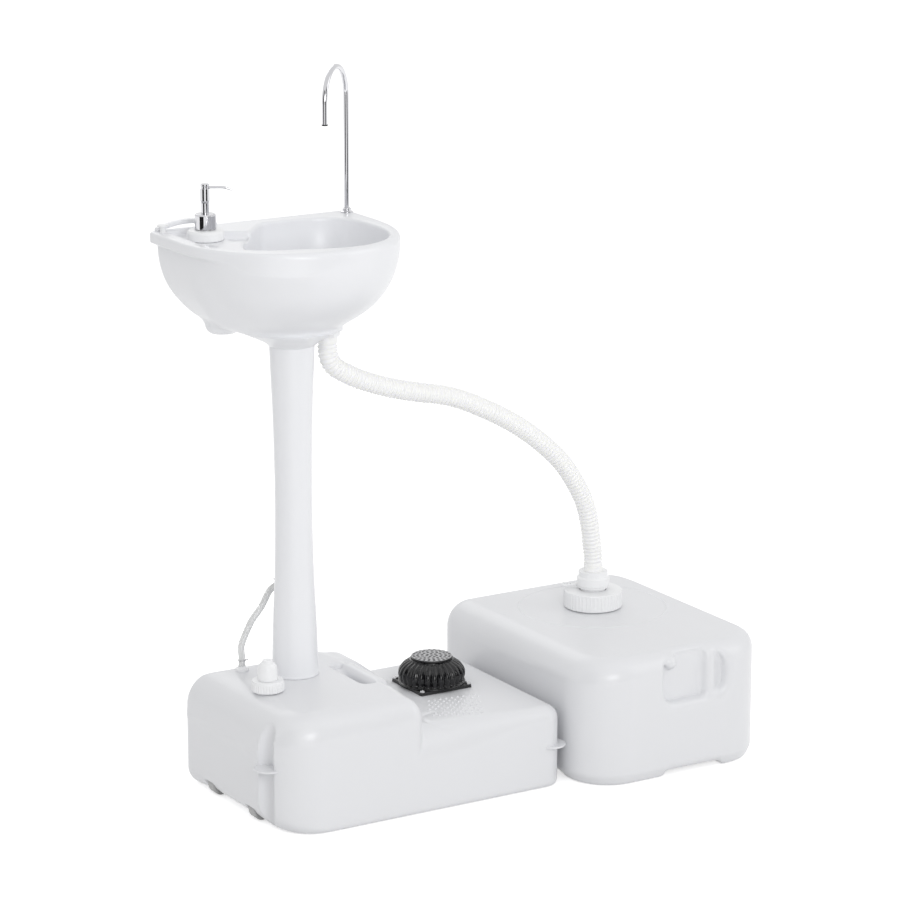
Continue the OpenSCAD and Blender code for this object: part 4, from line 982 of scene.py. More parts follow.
def fresh_field(x, y, z):
    """Fresh tank: high left block, low step, sloping shoulder, groove, wheel wells and grip."""
    under = (9, 9, 36, 9)
    high = puck(x, y, z, (TANK_X[0], 100), TANK_Y, (0, DECK_Z), (66, 20, 30, 24), (24, 52, 52, 38),
                under)
    front = 20 + 26 * rise(-x, -300, -110)
    low = puck(x, y, z, TANK_X, TANK_Y, (0, STEP_Z), (66, 24, 30, 24), (20, 20, 20, front), under)
    away = rise(np.minimum(y - TANK_Y[0], TANK_Y[1] - y), 2, 26) * rise(z, 95, 112)
    f = smin(low, high, 12 * away)
    slope = polygon(x, z, [(60, 90), (168, 90), (168, 120), (161, 126), (116, 161), (102, 167),
                           (60, 168)])
    side = rect(y, z, (19, TANK_Y[1]), (80, 168), (1, 1, 44, 16))
    f = smin(f, smax(slope, side, 7), 10 * away)
    groove = roll_over(np.hypot(x + 131, y + 143) - 17, z, 163, 9)
    f = smax(f, -groove, 1.2)
    # Finger recess: it runs out towards the back, under a rounded bar along its right side
    floor = 138 + 24 * rise(y, -62, 8)
    grip = np.maximum(rect(x, y, (58, 84), (-94, 10), (12, 12, 12, 12)), floor - z)
    f = smax(f, -grip, 5)
    bar_along = np.maximum(np.hypot(x - 89, z - (DECK_Z - 13)) - 13, np.abs(y + 42) - 46)
    f = smin(f, bar_along, 4)
    for low_box, high_box in WHEEL_BOXES.values():
        f = smax(f, -wheel_well(x, y, z, low_box, high_box), 1.5)
    # A crescent is pressed into the step, and fades towards its right
    mark = np.hypot(x - CRESCENT_X, y - CRESCENT_Y) - CRESCENT_R
    pressed = np.exp(-(mark / 3.2) ** 2) * rise(-x, -165, -140) * rise(z, 98, 112)
    return f + 1.3 * pressed


def dot_places():
    """Rows of grip dots on the step, in front of the pump, clear of the crescent."""
    dots = []
    for i in range(9):
        for j in range(8):
            a, b = (i + 0.5 * (j % 2)) / 9, j / 7
            top = np.array([175, -78]) * (1 - a) + np.array([256, -88]) * a
            low = np.array([142, -137]) * (1 - a) + np.array([217, -165]) * a
            q = top * (1 - b) + low * b
            if abs(math.hypot(q[0] - CRESCENT_X, q[1] - CRESCENT_Y) - CRESCENT_R) >= 5 or q[0] >= 165:
                dots.append(q)
    dots = np.array(dots)
    low, high = np.full(len(dots), STEP_Z - 40), np.full(len(dots), STEP_Z + 2)
    for _ in range(24):
        middle = (low + high) / 2
        inside = fresh_field(dots[:, 0], dots[:, 1], middle) < 0
        low, high = np.where(inside, middle, low), np.where(inside, high, middle)
    return np.column_stack([dots, low]) * MM


def build_fresh_tank():
    step = sizes().tank_step / MM
    tank = net(fresh_field, (-136, -205, -6), (336, 114, 177), step)
    add_piece("fresh_tank_shell", tank, moulded_white(), stands_for=["fresh_tank"], crease=60,
              outward=False)
    fin = [(0, 90), (21.6, 90), (22.2, 90.6), (22.2, 92.0), (21.5, 92.6), (0, 92.6)]
    small = [(0, 60), (21.3, 60), (22, 60.6), (22, 62.3), (21.2, 63), (0, 63)]
    add_piece("tank_ears", joined(lathe(fin, -121, -143, 72, 0), lathe(small, 315, -184, 72, 0)),
              moulded_white())
    neck = [(14, 165), (17, 165), (17, 172), *thread(17, 17.3, 172.6, 0.8), (17, 182), (14, 182)]
    add_piece("filler_neck", lathe(neck, FILLER_X, FILLER_Y, 72, 0.3, True), moulded_white())
    spigot = [(0, 168), (26.7, 168), (26.7, 212), (23, 212), (23, 173), (0, 173)]
    add_piece("pedestal_spigot", lathe(spigot, 0, 0, 72, 0.8), moulded_white())
    seeds = bpy.data.meshes.new("dot_places")
    seeds.from_pydata(dot_places().tolist(), [], [])
    mesh = grown("grip_dots", dots_tree, {"Dot Size": (0.0042, 0.0042, 0.0030),
                                          "Material": moulded_white()}, seeds)
    add_piece("grip_dots", mesh, moulded_white())


def build_wheels():
    for name, (low, high) in WHEEL_BOXES.items():
        w = (high[1] - low[1]) / 2
        r = (high[0] - low[0]) / 2
        ring = [(3.1, -w), (7, -w), (7, -w + 5), (r - 5, -w + 5), (r - 5, -w), (r - 2, -w), (r, -w + 2),
                (r, w - 2), (r - 2, w), (r - 5, w), (r - 5, w - 5), (7, w - 5), (7, w), (3.1, w)]
        tyre = lying(lathe(ring, 0, 0, 64, 0.5, True), *node_middle(name))
        add_piece(name + "_tyre", tyre, wheel_grey(), body=name, stands_for=[name])
    finish_node("wheel_axles", steel())


def build_filler():
    skirt = [(17.5, 171.5), (22.6, 171.5), (22.6, 184), (22, 186.9), (9, 187), (9, 193), (3, 193),
             (3, 183), (17.5, 183)]
    add_piece("filler_cap_body", lathe(skirt, FILLER_X, FILLER_Y, 108, 0.7, True), cap_white(),
              body="filler_cap", stands_for=["filler_cap"])
    ribs = grown("filler_ribs", ribs_tree, {
        "Count": sizes().cap_ribs, "Radius": 0.0227, "Rib Size": (0.0016, 0.0022, 0.0105),
        "Centre": (FILLER_X * MM, FILLER_Y * MM, 0.1778), "Material": cap_white()})
    add_piece("filler_cap_ribs", ribs, cap_white(), body="filler_cap")
    dome = [(0, 194.5), (9.1, 194.5), (9.1, 187.1), (14.2, 187.1), (14.2, 202), (13, 207), (10.5, 211),
            (7.5, 213), (7, 216), (0, 216)]
    add_piece("vent_cap_dome", lathe(dome, FILLER_X, FILLER_Y, 72, 0.8), cap_white(), body="filler_cap",
              stands_for=["vent_cap"])
    finish_node("filler_gasket", dark_rubber())


def wire_clamp(centre, way, start):
    """Wire wound a little more than once round the hose, with both ends bent outwards."""
    side = np.cross(way, [0.2, 0.9, 0.1])
    side /= np.linalg.norm(side)
    up = np.cross(way, side)
    turn = np.radians(np.linspace(start, start + 430, 60))[:, None]
    lift = np.linspace(-0.9, 0.9, 60)[:, None]
    ring = centre + (SUPPLY_R + 0.9) * (np.cos(turn) * side + np.sin(turn) * up) + lift * way
    ends = []
    for k in (0, -1):
        out = ring[k] - centre
        out -= way * (out @ way)
        out /= np.linalg.norm(out)
        ends.append([ring[k] + out * 5.0, ring[k] + out * 1.2])
    return tube(np.concatenate([ends[0], ring, ends[1][::-1]]), 0.72, 12)


def build_outlet():
    line = [(0, 155), (6.4, 155), (6.4, 170), (9.5, 170), (9.5, 174), (6, 174.4), (6, 177),
            (2.95, 177.2), (2.95, 190), (1.8, 190), (1.8, 176), (0, 176)]
    add_piece("outlet_elbow", lathe(line, OUTLET_X, OUTLET_Y, 48, 0.4), cap_white(),
              stands_for=["outlet_fitting"])
    finish_node("outlet_nut", cap_white())
    finish_node("dip_tube", clear())
    finish_node("dip_strainer", cap_white())
    clamps = [wire_clamp(np.array([OUTLET_X, OUTLET_Y, 185.5]), np.array([0, 0, 1.0]), 200),
              wire_clamp(INLET + 11.5 * INLET_WAY, INLET_WAY, 140)]
    add_piece("hose_spring_clamps", joined(*clamps), steel(), stands_for=["hose_clamps"])


def build_pump():
    flutes = sizes().flutes
    side = [(BELLOWS_R * r, BELLOWS_Z + BELLOWS_HIGH * z, 0) for r, z in BELLOWS_SIDE]
    fine = [tuple(p[:2]) for p in curve_through(side, 5)]
    line = [(0, BELLOWS_Z), *fine, (0, BELLOWS_Z + BELLOWS_HIGH)]

    def flute(angle, r, z):
        t = (z - BELLOWS_Z) / BELLOWS_HIGH
        if r < 1:
            return 0 * angle
        deep = 3.0 * rise(t, 0.06, 0.14) * (1 - rise(t, 0.86, 0.97))
        return -deep * (0.5 - 0.5 * np.cos(flutes * angle)) ** 2.2

    bellows = add_piece("pump_bellows_fluted", lathe(line, PUMP_X, PUMP_Y, flutes * 8, 0, shape=flute),
                        black_rubber(), stands_for=["pump_bellows"], crease=60)
    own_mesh(bellows)
    coil = grown("pump_spring", coil_tree, {
        "Radius": 0.020, "Wire": 0.0011, "Height": 0.0300, "Turns": 5.0,
        "Centre": (PUMP_X * MM, PUMP_Y * MM, 0.1262), "Material": steel()})
    coil = add_piece("pump_spring_coil", coil, steel(), stands_for=["pump_spring"])
    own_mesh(coil)

    def tread(x, y, z):
        f = roll_over(np.hypot(x - PUMP_X, y - PUMP_Y) - 30, z, 164.45, 1.3)
        f = np.maximum(f, 161.05 - z)
        for count, share in ((1, 0), (7, 0.24), (13, 0.47), (19, 0.69), (22, 0.88)):
            for i in range(count):
                a = 2 * math.pi * i / count + share
                px, py = PUMP_X + 30 * share * math.cos(a), PUMP_Y + 30 * share * math.sin(a)
                hole = np.maximum(np.hypot(x - px, y - py) - 2.05, 162.9 - z)
                f = smax(f, -hole, 0.5)
        return f

    pad = net(tread, (PUMP_X - 31, PUMP_Y - 31, 159.8), (PUMP_X + 31, PUMP_Y + 31, 166), 0.55)
    # The tread pad's grey top is a painted sheen over black rubber.
    add_piece("pump_tread_pad", pad, tread_finish_painted_sheen(), body="pump_tread", stands_for=["pump_tread"],
              crease=40, outward=False)

    def plate(x, y, z):
        d = rect(x - PUMP_X, y - PUMP_Y, (-43, 43), (-43, 43), (4, 4, 4, 4))
        return np.maximum(roll_over(d, z, BELLOWS_Z, 1.2), 121.5 - z)

    flange = net(plate, (PUMP_X - 45, PUMP_Y - 45, 120.3), (PUMP_X + 45, PUMP_Y + 45, 126.4), 0.85)
    add_piece("pump_plate_flange", flange, black_plastic(), stands_for=["pump_plate"], crease=40,
              outward=False)
    head = [(0, 124.6), (4.0, 124.8), (3.9, 126.4), (2.6, 127.4), (1.2, 127.5), (0.9, 126.5),
            (0, 126.4)]
    heads = [lathe(head, PUMP_X + dx, PUMP_Y + dy, 32, 0.3) for dx in (-38.5, 38.5)
             for dy in (-38.5, 38.5)]
    add_piece("pump_screw_heads", joined(*heads), steel(), stands_for=["pump_screws"])
    finish_node("pump_gasket", dark_rubber())
    finish_node("pump_valve", dark_rubber())


def build_pedestal():
    lower = [(.022, 1), (.08, .93), (.165, .7), (.3, .28), (.45, .04), (.56, 0)]
    upper = [(.7, .12), (.82, .4), (.92, .75), (1, 1)]
    side = [(WAIST_R + 6.5 * w, DECK_Z + PEDESTAL_HIGH * t, 0) for t, w in lower]
    side += [(WAIST_R + 5.5 * w, DECK_Z + PEDESTAL_HIGH * t, 0) for t, w in upper]
    fine = [tuple(p[:2]) for p in curve_through(side, 10)]
    line = [(27, DECK_Z + 0.1), (33, DECK_Z + 0.1), (33.6, DECK_Z + 0.8), (33.6, DECK_Z + 3.2),
            (33.1, DECK_Z + 4)] + fine
    top = DECK_Z + PEDESTAL_HIGH
    line += [(27, top), (23.8, top - 2), (23.8, top - 40), (27, DECK_Z + 43)]
    add_piece("pedestal_column", lathe(line, 0, 0, 128, 0.5, True), basin_white(),
              stands_for=["pedestal"], crease=30)
    back = np.array([0, 1.0, 0])
    flange = lying(lathe([(0, 0), (8, 0), (8, 2), (0, 2)], 0, 0, 40, 0.5), 0, 29.6, INLET[2])
    spigot = tube([INLET, INLET + 8 * INLET_WAY, INLET + 16 * INLET_WAY], 2.9, 24)
    hub = tube([INLET - 4 * back, INLET, INLET + 3 * back], (4.0, 4.0, 3.2), 24)
    add_piece("pedestal_inlet_elbow", joined(flange, spigot, hub), cap_white(),
              stands_for=["pedestal_inlet"])
    finish_node("riser_hose", clear())


def basin_body(x, y, w):
    """Rounded outside under the rim: it starts along the rim's plan and draws in below it."""
    down = rise(-w, 14, 100)
    u = x - RIM_X - 8.25 * down + 6 * rise(-w, 90, 140)
    v = y - RIM_Y + 5 * down
    near_rim = 1 - rise(-w, 8, 60)
    left = rise(-u, 0, 70) * rise(v, -45, 10)
    across = np.where(u > 0, RIM_R - 8 * down, RIM_R - 10 + 8 * down)
    deep = RIM_R - 5.5 * down
    n = np.where(u < 0, 2 + 0.4 * near_rim, 2.0)
    round_front = (np.abs(u / across) ** n + np.abs(np.minimum(v, 0) / deep) ** n) ** (1 / n)
    q = 1.98 + 0.55 * left
    body = ((round_front ** q + (np.maximum(-w - 14, 0) / 131.0) ** q) ** (1 / q) - 1) * 130
    h_back = np.maximum(-w, 0) / 145.0
    back = ((np.abs(np.maximum(y - 20, 0) / 111.0) ** 2.6 + h_back ** 2.6) ** (1 / 2.6) - 1) * 111
    return np.maximum(smax(body, back, 16), w)


def bowl_hollow(x, y, w):
    """The bowl: wider in front on its left, blunter behind, cut off at its back left by the deck."""
    u, v = x - 38, y - 6
    deep = np.where(v > 0, 98.0, 118.0)
    n = np.where(v > 0, 3.2, 2.0)
    across = 102 + 24 * rise(-v, -25, 45) * (u < 0)
    flat = (np.abs(u / across) ** n + np.abs(v / deep) ** n) ** (1 / n)
    bowl = ((flat ** 2.3 + np.abs(np.minimum(w, 0) / 103.0) ** 2.3) ** (1 / 2.3) - 1) * 100
    return smax(bowl, 0.663 * (y - 50) - 0.749 * (x + 38), 10)


def shelf_hollow(x, y, z):
    """The level shelf left of the bowl, rounded in front to follow the rim."""
    plan = polygon(x, y, [(-134, -120), (-134, 115), (-70, 115), (-69, 79), (-34, 57), (-24, 30),
                          (-10, -40), (-8, -120)])
    mouth = (np.hypot((x - 4) / 137.0, (y - 8) / 105.0) - 1) * 105
    plan = smax(plan, np.where(y < 8, mouth, np.minimum(mouth, -9.0)), 6)
    return smax(plan, SHELF_Z - z, 3)


def basin_field(x, y, z):
    """Basin: rounded body, overhanging lip, neck and bosses below, and the hollows in its top."""
    w = z - RIM_Z
    plan = np.where(y < RIM_Y, np.hypot(x - RIM_X, y - RIM_Y) - RIM_R,
                    rect(x, y, (BASIN_LOW[0], BASIN_HIGH[0]), (-120, BASIN_HIGH[1]), (1, 1, 8, 14)))
    edge = roll_over(plan, z, RIM_Z, 4.5 + 4.5 * rise(x, -110, -30) * rise(-y, -60, 20))
    lip = np.maximum(edge, roll_over(plan, -z, -(RIM_Z - 16), 3.0))
    f = smin(basin_body(x, y, w), lip, 0.2 + 4.8 * rise(-x, 30, 110))
    f = np.maximum(f, edge)
    neck_r = np.interp(z, [640, 650, 651.5, 654.5, 659, 664.5, 672], [32.5, 32.5, 34.5, 38, 45, 55, 66])
    neck = np.maximum(np.hypot(x, y) - neck_r, np.maximum(650 - z, z - 672)) * 0.8
    f = smin(f, neck, 12)
    under_soap = roll_over(np.hypot(x + 80, y - 57) - 22.5, -z, -665, 11)
    f = smin(f, np.maximum(under_soap, z - 700), 10)
    under_drain = roll_over(np.hypot(x - DRAIN_X, y - DRAIN_Y) - 22, -z, -664, 1.5)
    f = smin(f, np.maximum(under_drain, z - 690), 3)
    f = smax(f, -smin(bowl_hollow(x, y, w), shelf_hollow(x, y, z), 5), 5)
    sponge = np.maximum(rect(x, y, (-131, -108), (8, 40), (8, 8, 8, 8)), SHELF_Z - 14 - z)
    f = smax(f, -sponge, 3)
    tray = np.maximum(polygon(x, y, [(-66, 75), (-37, 57), (-52, 33), (-71, 40)]), SHELF_Z - 4 - z)
    f = smax(f, -tray, 3)
    well = np.maximum(np.hypot(x - SOAP_X, y - SOAP_Y) - 23, 715 - z)
    f = smax(f, -well, 2)
    sump = np.maximum(np.hypot(x - DRAIN_X, y - DRAIN_Y) - 25, 703.5 - z)
    return smax(f, -sump, 3)


def build_basin():
    shell = net(basin_field, (-162, -142, 646), (172, 139, 811), sizes().basin_step / MM)
    add_piece("basin_shell", shell, basin_white(), stands_for=["basin"], crease=60,
              outward=False)
    rail_x, rail_r = -98, 136

    def rail(x, y, z):
        r = np.hypot(x - rail_x, z - (RIM_Z + 13 - rail_r))
        f = np.maximum(r - rail_r, RIM_Z - 0.5 - z)
        gap = np.maximum(np.maximum(r - rail_r + 6.5, np.abs(x - rail_x) - 38), RIM_Z - 10 - z)
        f = smax(f, -gap, 1.5)
        f = smax(f, np.maximum(np.abs(y - 123.5) - 5.5, x + 52), 2.5)
        return smax(f, -146 - x, 2)

    add_piece("towel_rail_arch", net(rail, (-150, 115, RIM_Z - 3), (-35, 132, RIM_Z + 16), 0.9),
              basin_white(), stands_for=["towel_rail"], crease=50, outward=False)
    peg = [(0, 804), (4.6, 804), (4, 807), (4, 813.4), (8, 813.6), (8, 815.6), (7, 816.4), (0, 816.4)]
    add_piece("rim_peg_button", lathe(peg, PEG_X, PEG_Y, 48, 0.6), cap_white(),
              stands_for=["rim_peg"])


def build_drain():
    def strainer(x, y, z):
        r = np.hypot(x - DRAIN_X, y - DRAIN_Y)
        f = np.maximum(roll_over(r - 22, z, 708.6, 1.0), 706.6 - z)
        f = np.minimum(f, np.maximum(np.maximum(r - 11, 8 - r), np.maximum(z - 707.6, 700.6 - z)))
        holes = r
        for i in range(6):
            hole_x = DRAIN_X + 6 * math.cos(math.pi / 3 * i)
            hole_y = DRAIN_Y + 6 * math.sin(math.pi / 3 * i)
            holes = np.minimum(holes, np.hypot(x - hole_x, y - hole_y))
        return smax(f, 1.8 - holes, 0.5)

    plate = net(strainer, (DRAIN_X - 24, DRAIN_Y - 24, 699), (DRAIN_X + 24, DRAIN_Y + 24, 710), 0.6)
    add_piece("drain_strainer_plate", plate, cap_white(), body="strainer",
              stands_for=["drain_strainer"], crease=45, outward=False)
    tail = [(9.5, 641), (10.9, 641), (10.9, 657), (15, 657), (15, 704.6), (22, 704.6), (22, 706.5),
            (9.5, 706.5)]
    add_piece("drain_tailpiece_pipe", lathe(tail, DRAIN_X, DRAIN_Y, 64, 0.4, True), cap_white(),
              stands_for=["drain_tailpiece"])
    nut = [(15.1, 657), (18.5, 657), (18.5, 663.9), (15.1, 663.9)]
    add_piece("drain_nut_ring", lathe(nut, DRAIN_X, DRAIN_Y, 8, 0.6, True), cap_white(),
              stands_for=["drain_nut"], crease=20)
    finish_node("drain_gasket", dark_rubber())


def build_spout():
    rim = RIM_Z
    base = [(4.2, rim - 15), (6.3, rim - 15), (6.3, rim), (9, rim), (9, rim + 1.4), (7.4, rim + 2),
            (6.5, rim + 2.6), (6.5, rim + 5.6), (5.4, rim + 6.5), (4.2, rim + 6.5)]
    add_piece("spout_base_flange", lathe(base, SPOUT_X, SPOUT_Y, 64, 0.4, True), chrome(),
              stands_for=["spout_base"])
    radius, bore = 4.0, 3.2
    turn, bend, drop = math.radians(222), 47.5, 27
    foot, top = rim - 11.5, rim + 168
    out = np.array([math.cos(turn), math.sin(turn), 0])
    stem = np.array([SPOUT_X, SPOUT_Y, 0.0])
    end = stem + out * 2 * bend
    path = [stem + [0, 0, z] for z in np.linspace(foot, top, 24)]
    path += [stem + out * bend * (1 - math.cos(a)) + [0, 0, top + bend * math.sin(a)]
             for a in np.linspace(0, math.pi, 73)[1:]]
    path += [end + [0, 0, z] for z in np.linspace(top, top - drop, 6)[1:]]
    add_piece("spout_tube_bent", tube(path, radius, 40, bore), chrome(), body="spout",
              stands_for=["spout_tube"])
    z = top - drop
    tip = [(2.2, z - 2), (4.4, z - 2), (4.4, z), (3.15, z), (3.15, z + 8), (2.2, z + 8)]
    add_piece("spout_aerator_tip", lathe(tip, end[0], end[1], 48, 0.3, True), black_plastic(),
              body="spout", stands_for=["spout_aerator"])
    finish_node("spout_nut", steel())


def build_soap():
    s = SHELF_Z
    bottle = [(0, s - 80), (20, s - 80), (22, s - 78), (22, s - 10), (12.9, s - 2), (12.9, s + 24),
              (11.4, s + 24), (11.4, s - 3.5), (20.5, s - 11), (20.5, s - 77), (19, s - 78.5),
              (0, s - 78.5)]
    add_piece("soap_bottle_blown", lathe(bottle, SOAP_X, SOAP_Y, 72, 1.0), milky(), body="soap_bottle",
              stands_for=["soap_bottle"])
    ring = [(13, s), (25, s), (26, s + 2), (26, s + 11), (24, s + 14), (21, s + 15), (13, s + 15)]
    add_piece("soap_ring_collar", lathe(ring, SOAP_X, SOAP_Y, 96, 1.6, True), cap_white(),
              body="soap_bottle", stands_for=["soap_ring"])
    c = s + 15.3
    cap = [(13, c), (15, c), (15, c + 19.6), (13.3, c + 21.7), (5.6, c + 21.7), (5.6, c + 18),
           (13, c + 18)]
    add_piece("soap_cap_chrome", lathe(cap, SOAP_X, SOAP_Y, 96, 0.8, True), chrome(), body="soap_bottle",
              stands_for=["soap_cap"])
    h = s + 52
    stem = [(0, s - 10.8), (5.5, s - 10.8), (5.5, h), (3, h), (3, h + 14), (0, h + 14)]
    add_piece("soap_stem_rod", lathe(stem, SOAP_X, SOAP_Y, 48, 0.3), chrome(), body="soap_stem",
              stands_for=["soap_stem"])
    head = [(0, h + 14.5), (3.05, h + 14.5), (3.05, h + .3), (5.2, h + .3), (6.7, h + 3), (6.7, h + 20),
            (5.2, h + 21), (5.2, h + 23), (6.2, h + 24), (6.2, h + 26), (5, h + 27), (0, h + 27)]
    turn = math.radians(-31)
    way = np.array([math.cos(turn), math.sin(turn), 0])
    root = np.array([SOAP_X, SOAP_Y, h + 22])
    route = [root + way * d + [0, 0, -drop] for d, drop in
             ((3, 0), (10, 0), (18, 0), (24, 0.1), (28, 0.7), (32, 1.9), (36, 3.3), (38.6, 4.3))]
    fine = curve_through(route, 5)
    thick = np.interp(np.linspace(0, 1, len(fine)), [0, .6, 1], [1.9, 1.8, 1.2])
    add_piece("soap_head_nozzle", joined(lathe(head, SOAP_X, SOAP_Y, 64, 0.5), tube(fine, thick, 20)),
              chrome(), body="soap_head", stands_for=["soap_head"])
    coil = grown("soap_spring", coil_tree, {
        "Radius": 0.0042, "Wire": 0.0005, "Height": 0.0250, "Turns": 7.0,
        "Centre": (SOAP_X * MM, SOAP_Y * MM, 0.7606), "Material": steel()})
    coil = add_piece("soap_spring_coil", coil, steel(), body="soap_bottle", stands_for=["soap_spring"])
    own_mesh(coil)
    finish_node("soap_chamber", clear())
    finish_node("soap_dip_tube", clear())


def waste_field(x, y, z):
    """Waste tank: large rounded block, feet below, and the moulded handle recess in front."""
    f = puck(x, y, z, WASTE_X, WASTE_Y, (8, WASTE_Z), WASTE_PLAN, (20, 40, 42, 32), (12, 12, 12, 12))
    inner = rect(x, y, (WASTE_X[0] + 9, WASTE_X[1] - 7), (WASTE_Y[0] + 5, WASTE_Y[1] - 9),
                 [r - 9 for r in WASTE_PLAN])
    for xr in ((330, 472), (574, 668)):
        for yr in ((-260, -170), (92, 182)):
            foot = np.maximum(inner, rect(x, y, xr, yr, (8, 8, 8, 8)))
            f = smin(f, np.maximum(roll_over(foot, -z, 0, 7), z - 30), 9)
    f = np.maximum(f, np.maximum(rect(x, y, WASTE_X, WASTE_Y, WASTE_PLAN), -z))
    # Handle recess, 18 mm deep, with a shallower channel at its right behind a soft post
    pocket = np.maximum(rect(x, z, (470, 577), (111, 177), (20, 26, 26, 20)),
                        y - WASTE_Y[0] - 18 + 5 * rise(x, 548, 566))
    post = np.hypot(x - 554, y + 238) - 8
    f = smax(f, -smax(pocket, -post, 12), 13)
    lump = np.hypot(np.hypot(x - 486, y + 236), z - 169) - 9
    return smin(f, lump, 8)


def build_waste_tank():
    shell = net(waste_field, (334, -256, -6), (664, 178, 194), sizes().tank_step / MM)
    add_piece("waste_tank_shell", shell, moulded_white(), stands_for=["waste_tank"], crease=60,
              outward=False)
    bead = [(108.2, 186.6), (109.6, 187.5), (111, 187.9), (112.4, 187.5), (113.8, 186.6), (111, 185.5)]
    add_piece("waste_raised_ring", lathe(bead, NECK_X, NECK_Y, 160, 0.3, True), moulded_white(),
              crease=80)
    neck = [(34, 180), (38, 180), (38, 188), *thread(37.6, 38.2, 188.6, 0.9), (37.6, 198), (34, 198)]
    add_piece("waste_neck", lathe(neck, NECK_X, NECK_Y, 96, 0.3, True), moulded_white())


def build_waste_fittings():
    ring = [(38.4, 188.5), (43.2, 188.5), (43.2, 213), (42.2, 214), (20, 214), (20, 210), (38.4, 210)]
    add_piece("waste_ring_body", lathe(ring, NECK_X, NECK_Y, 144, 0.8, True), cap_white(),
              body="screw_ring", stands_for=["waste_ring"])
    ribs = grown("waste_ribs", ribs_tree, {
        "Count": sizes().ring_ribs, "Radius": 0.0432, "Rib Size": (0.0016, 0.0024, 0.0225),
        "Centre": (NECK_X * MM, NECK_Y * MM, 0.2012), "Material": cap_white()})
    add_piece("waste_ring_ribs", ribs, cap_white(), body="screw_ring")
    stem = [(9.5, 200), (38, 200), (38, 203.4), (19, 203.4), (19, 221), (10.9, 221), (10.9, 255),
            (9.5, 255)]
    add_piece("waste_adapter_stem", lathe(stem, NECK_X, NECK_Y, 96, 0.5, True), cap_white(),
              stands_for=["waste_adapter"])
    collar = [(11.1, 221), (24.5, 221), (24.5, 233), (22, 235), (22, 243), (11.1, 243)]
    add_piece("hose_collar_nut", lathe(collar, NECK_X, NECK_Y, 96, 1.0, True), cap_white(),
              stands_for=["hose_collar"])
    # The tether: one loop on the stem, an empty one beside it, and a short arm between them
    z0, z1 = node_box("cap_tether")[0][2], node_box("cap_tether")[1][2]
    c, n = math.cos(math.radians(140)), math.sin(math.radians(140))
    far = (NECK_X + 41 * c, NECK_Y + 41 * n)
    arm, faces = bar((21, 35), (-3, 3), (z0, z1), 0.8)
    along, aside = arm[:, 0], arm[:, 1]
    arm = np.stack([NECK_X + along * c - aside * n, NECK_Y + along * n + aside * c, arm[:, 2]], 1)
    loops = [lathe([(a, z0), (b, z0), (b, z1), (a, z1)], *at, 48, 0.6, True)
             for a, b, at in ((19.1, 23, (NECK_X, NECK_Y)), (4, 8, far))]
    add_piece("cap_tether_strap", joined((arm, faces), *loops), cap_white(), stands_for=["cap_tether"])
    finish_node("waste_gasket", dark_rubber())
    finish_node("waste_washer", grey_rubber())


# ---------- operators ----------

class WASHSTAND_OT_camera(bpy.types.Operator):
    """Places the camera at the photograph's viewing angle"""

    bl_idname = "washstand.camera"
    bl_label = "Camera"

    def execute(self, context):
        build_camera()
        return {"FINISHED"}


class WASHSTAND_OT_hoses(bpy.types.Operator):
    """Makes the ribbed drain hose and the clear supply hose"""

    bl_idname = "washstand.hoses"
    bl_label = "Hoses"

    def execute(self, context):
        build_hoses()
        return {"FINISHED"}


class WASHSTAND_OT_stage(bpy.types.Operator):
    """Makes the pale floor, the soft lamps and the white surroundings"""

    bl_idname = "washstand.stage"
    bl_label = "Stage"

    def execute(self, context):
        build_stage()
        return {"FINISHED"}


class WASHSTAND_OT_fresh_tank(bpy.types.Operator):
    """Makes the fresh-water tank with its ears, necks and grip dots"""

    bl_idname = "washstand.fresh_tank"
    bl_label = "Fresh tank"

    def execute(self, context):
        build_fresh_tank()
        return {"FINISHED"}


class WASHSTAND_OT_wheels(bpy.types.Operator):
    """Makes the two wheels under the fresh tank"""

    bl_idname = "washstand.wheels"
    bl_label = "Wheels"

    def execute(self, context):
        build_wheels()
        return {"FINISHED"}


class WASHSTAND_OT_filler(bpy.types.Operator):
    """Makes the ribbed filler cap and its vent cap"""

    bl_idname = "washstand.filler"
    bl_label = "Filler cap"

    def execute(self, context):
        build_filler()
        return {"FINISHED"}


class WASHSTAND_OT_outlet(bpy.types.Operator):
    """Makes the outlet fitting and the wire clamps"""

    bl_idname = "washstand.outlet"
    bl_label = "Outlet"

    def execute(self, context):
        build_outlet()
        return {"FINISHED"}


class WASHSTAND_OT_pump(bpy.types.Operator):
    """Makes the fluted foot pump with its plate, screws and tread"""

    bl_idname = "washstand.pump"
    bl_label = "Foot pump"

    def execute(self, context):
        build_pump()
        return {"FINISHED"}


class WASHSTAND_OT_pedestal(bpy.types.Operator):
    """Makes the waisted pedestal and its inlet"""

    bl_idname = "washstand.pedestal"
    bl_label = "Pedestal"

    def execute(self, context):
        build_pedestal()
        return {"FINISHED"}


class WASHSTAND_OT_basin(bpy.types.Operator):
    """Makes the basin, its towel rail and its peg"""

    bl_idname = "washstand.basin"
    bl_label = "Basin"

    def execute(self, context):
        build_basin()
        return {"FINISHED"}


class WASHSTAND_OT_drain(bpy.types.Operator):
    """Makes the drain's strainer, pipe and nut"""

    bl_idname = "washstand.drain"
    bl_label = "Drain"

    def execute(self, context):
        build_drain()
        return {"FINISHED"}


class WASHSTAND_OT_spout(bpy.types.Operator):
    """Makes the bent chrome spout"""

    bl_idname = "washstand.spout"
    bl_label = "Spout"

    def execute(self, context):
        build_spout()
        return {"FINISHED"}


class WASHSTAND_OT_soap(bpy.types.Operator):
    """Makes the soap dispenser"""

    bl_idname = "washstand.soap"
    bl_label = "Soap dispenser"

    def execute(self, context):
        build_soap()
        return {"FINISHED"}


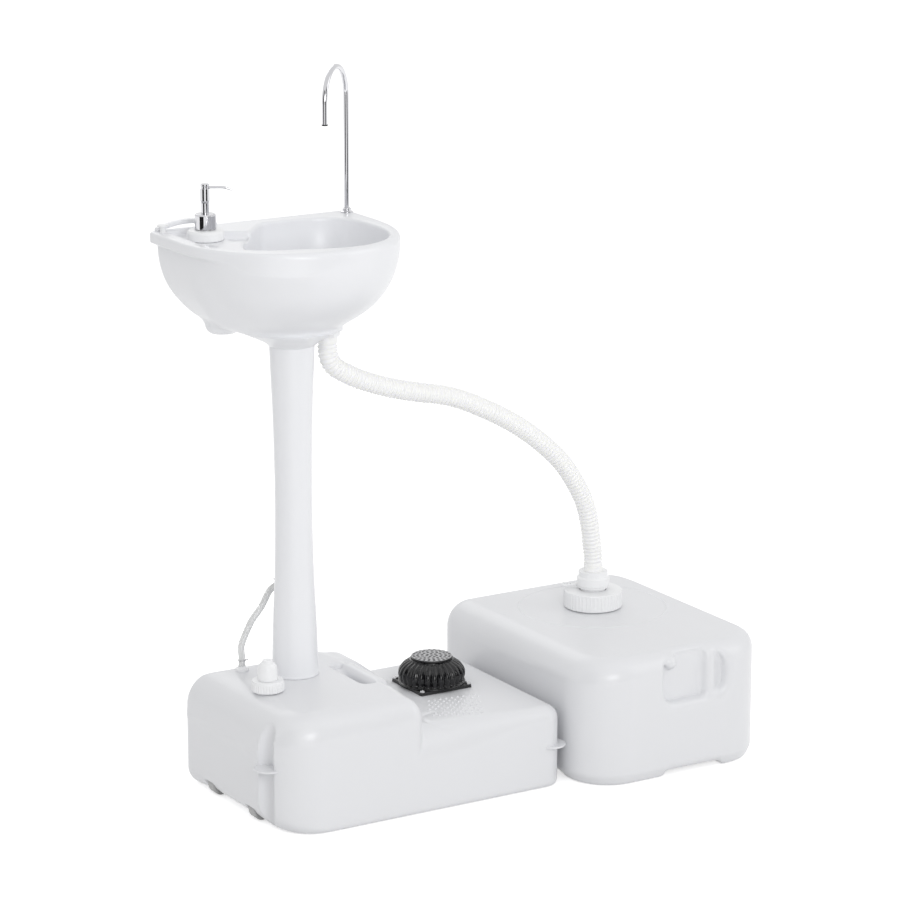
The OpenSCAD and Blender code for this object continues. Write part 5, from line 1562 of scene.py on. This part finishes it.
class WASHSTAND_OT_waste_tank(bpy.types.Operator):
    """Makes the waste tank with its neck and raised ring"""

    bl_idname = "washstand.waste_tank"
    bl_label = "Waste tank"

    def execute(self, context):
        build_waste_tank()
        return {"FINISHED"}


class WASHSTAND_OT_waste_fittings(bpy.types.Operator):
    """Makes the screw ring, adapter, collar and tether on the waste tank"""

    bl_idname = "washstand.waste_fittings"
    bl_label = "Waste fittings"

    def execute(self, context):
        build_waste_fittings()
        return {"FINISHED"}


STEPS = (WASHSTAND_OT_camera, WASHSTAND_OT_hoses, WASHSTAND_OT_stage, WASHSTAND_OT_fresh_tank,
         WASHSTAND_OT_wheels, WASHSTAND_OT_filler, WASHSTAND_OT_outlet, WASHSTAND_OT_pump,
         WASHSTAND_OT_pedestal, WASHSTAND_OT_basin, WASHSTAND_OT_drain, WASHSTAND_OT_spout,
         WASHSTAND_OT_soap, WASHSTAND_OT_waste_tank, WASHSTAND_OT_waste_fittings)


class WASHSTAND_PT_panel(bpy.types.Panel):
    """Lists the wash stand's pieces, sizes and colours"""

    bl_idname = "WASHSTAND_PT_panel"
    bl_label = "Wash stand"
    bl_space_type = "VIEW_3D"
    bl_region_type = "UI"
    bl_category = "Wash stand"

    def draw(self, context):
        column = self.layout.column()
        for group in (context.scene.wash_stand_sizes, context.scene.wash_stand_colours):
            for name in group.__annotations__:
                column.prop(group, name)
        for step in STEPS:
            column.operator(step.bl_idname)


CLASSES = (WashStandSizes, WashStandColours, *STEPS, WASHSTAND_PT_panel)


def register():
    for cls in CLASSES:
        bpy.utils.register_class(cls)
    bpy.types.Scene.wash_stand_sizes = bpy.props.PointerProperty(type=WashStandSizes)
    bpy.types.Scene.wash_stand_colours = bpy.props.PointerProperty(type=WashStandColours)


def unregister():
    del bpy.types.Scene.wash_stand_colours
    del bpy.types.Scene.wash_stand_sizes
    for cls in reversed(CLASSES):
        bpy.utils.unregister_class(cls)


def main():
    register()
    for step in STEPS:
        group, name = step.bl_idname.split(".")
        getattr(getattr(bpy.ops, group), name)()


if __name__ == "__main__":
    main()
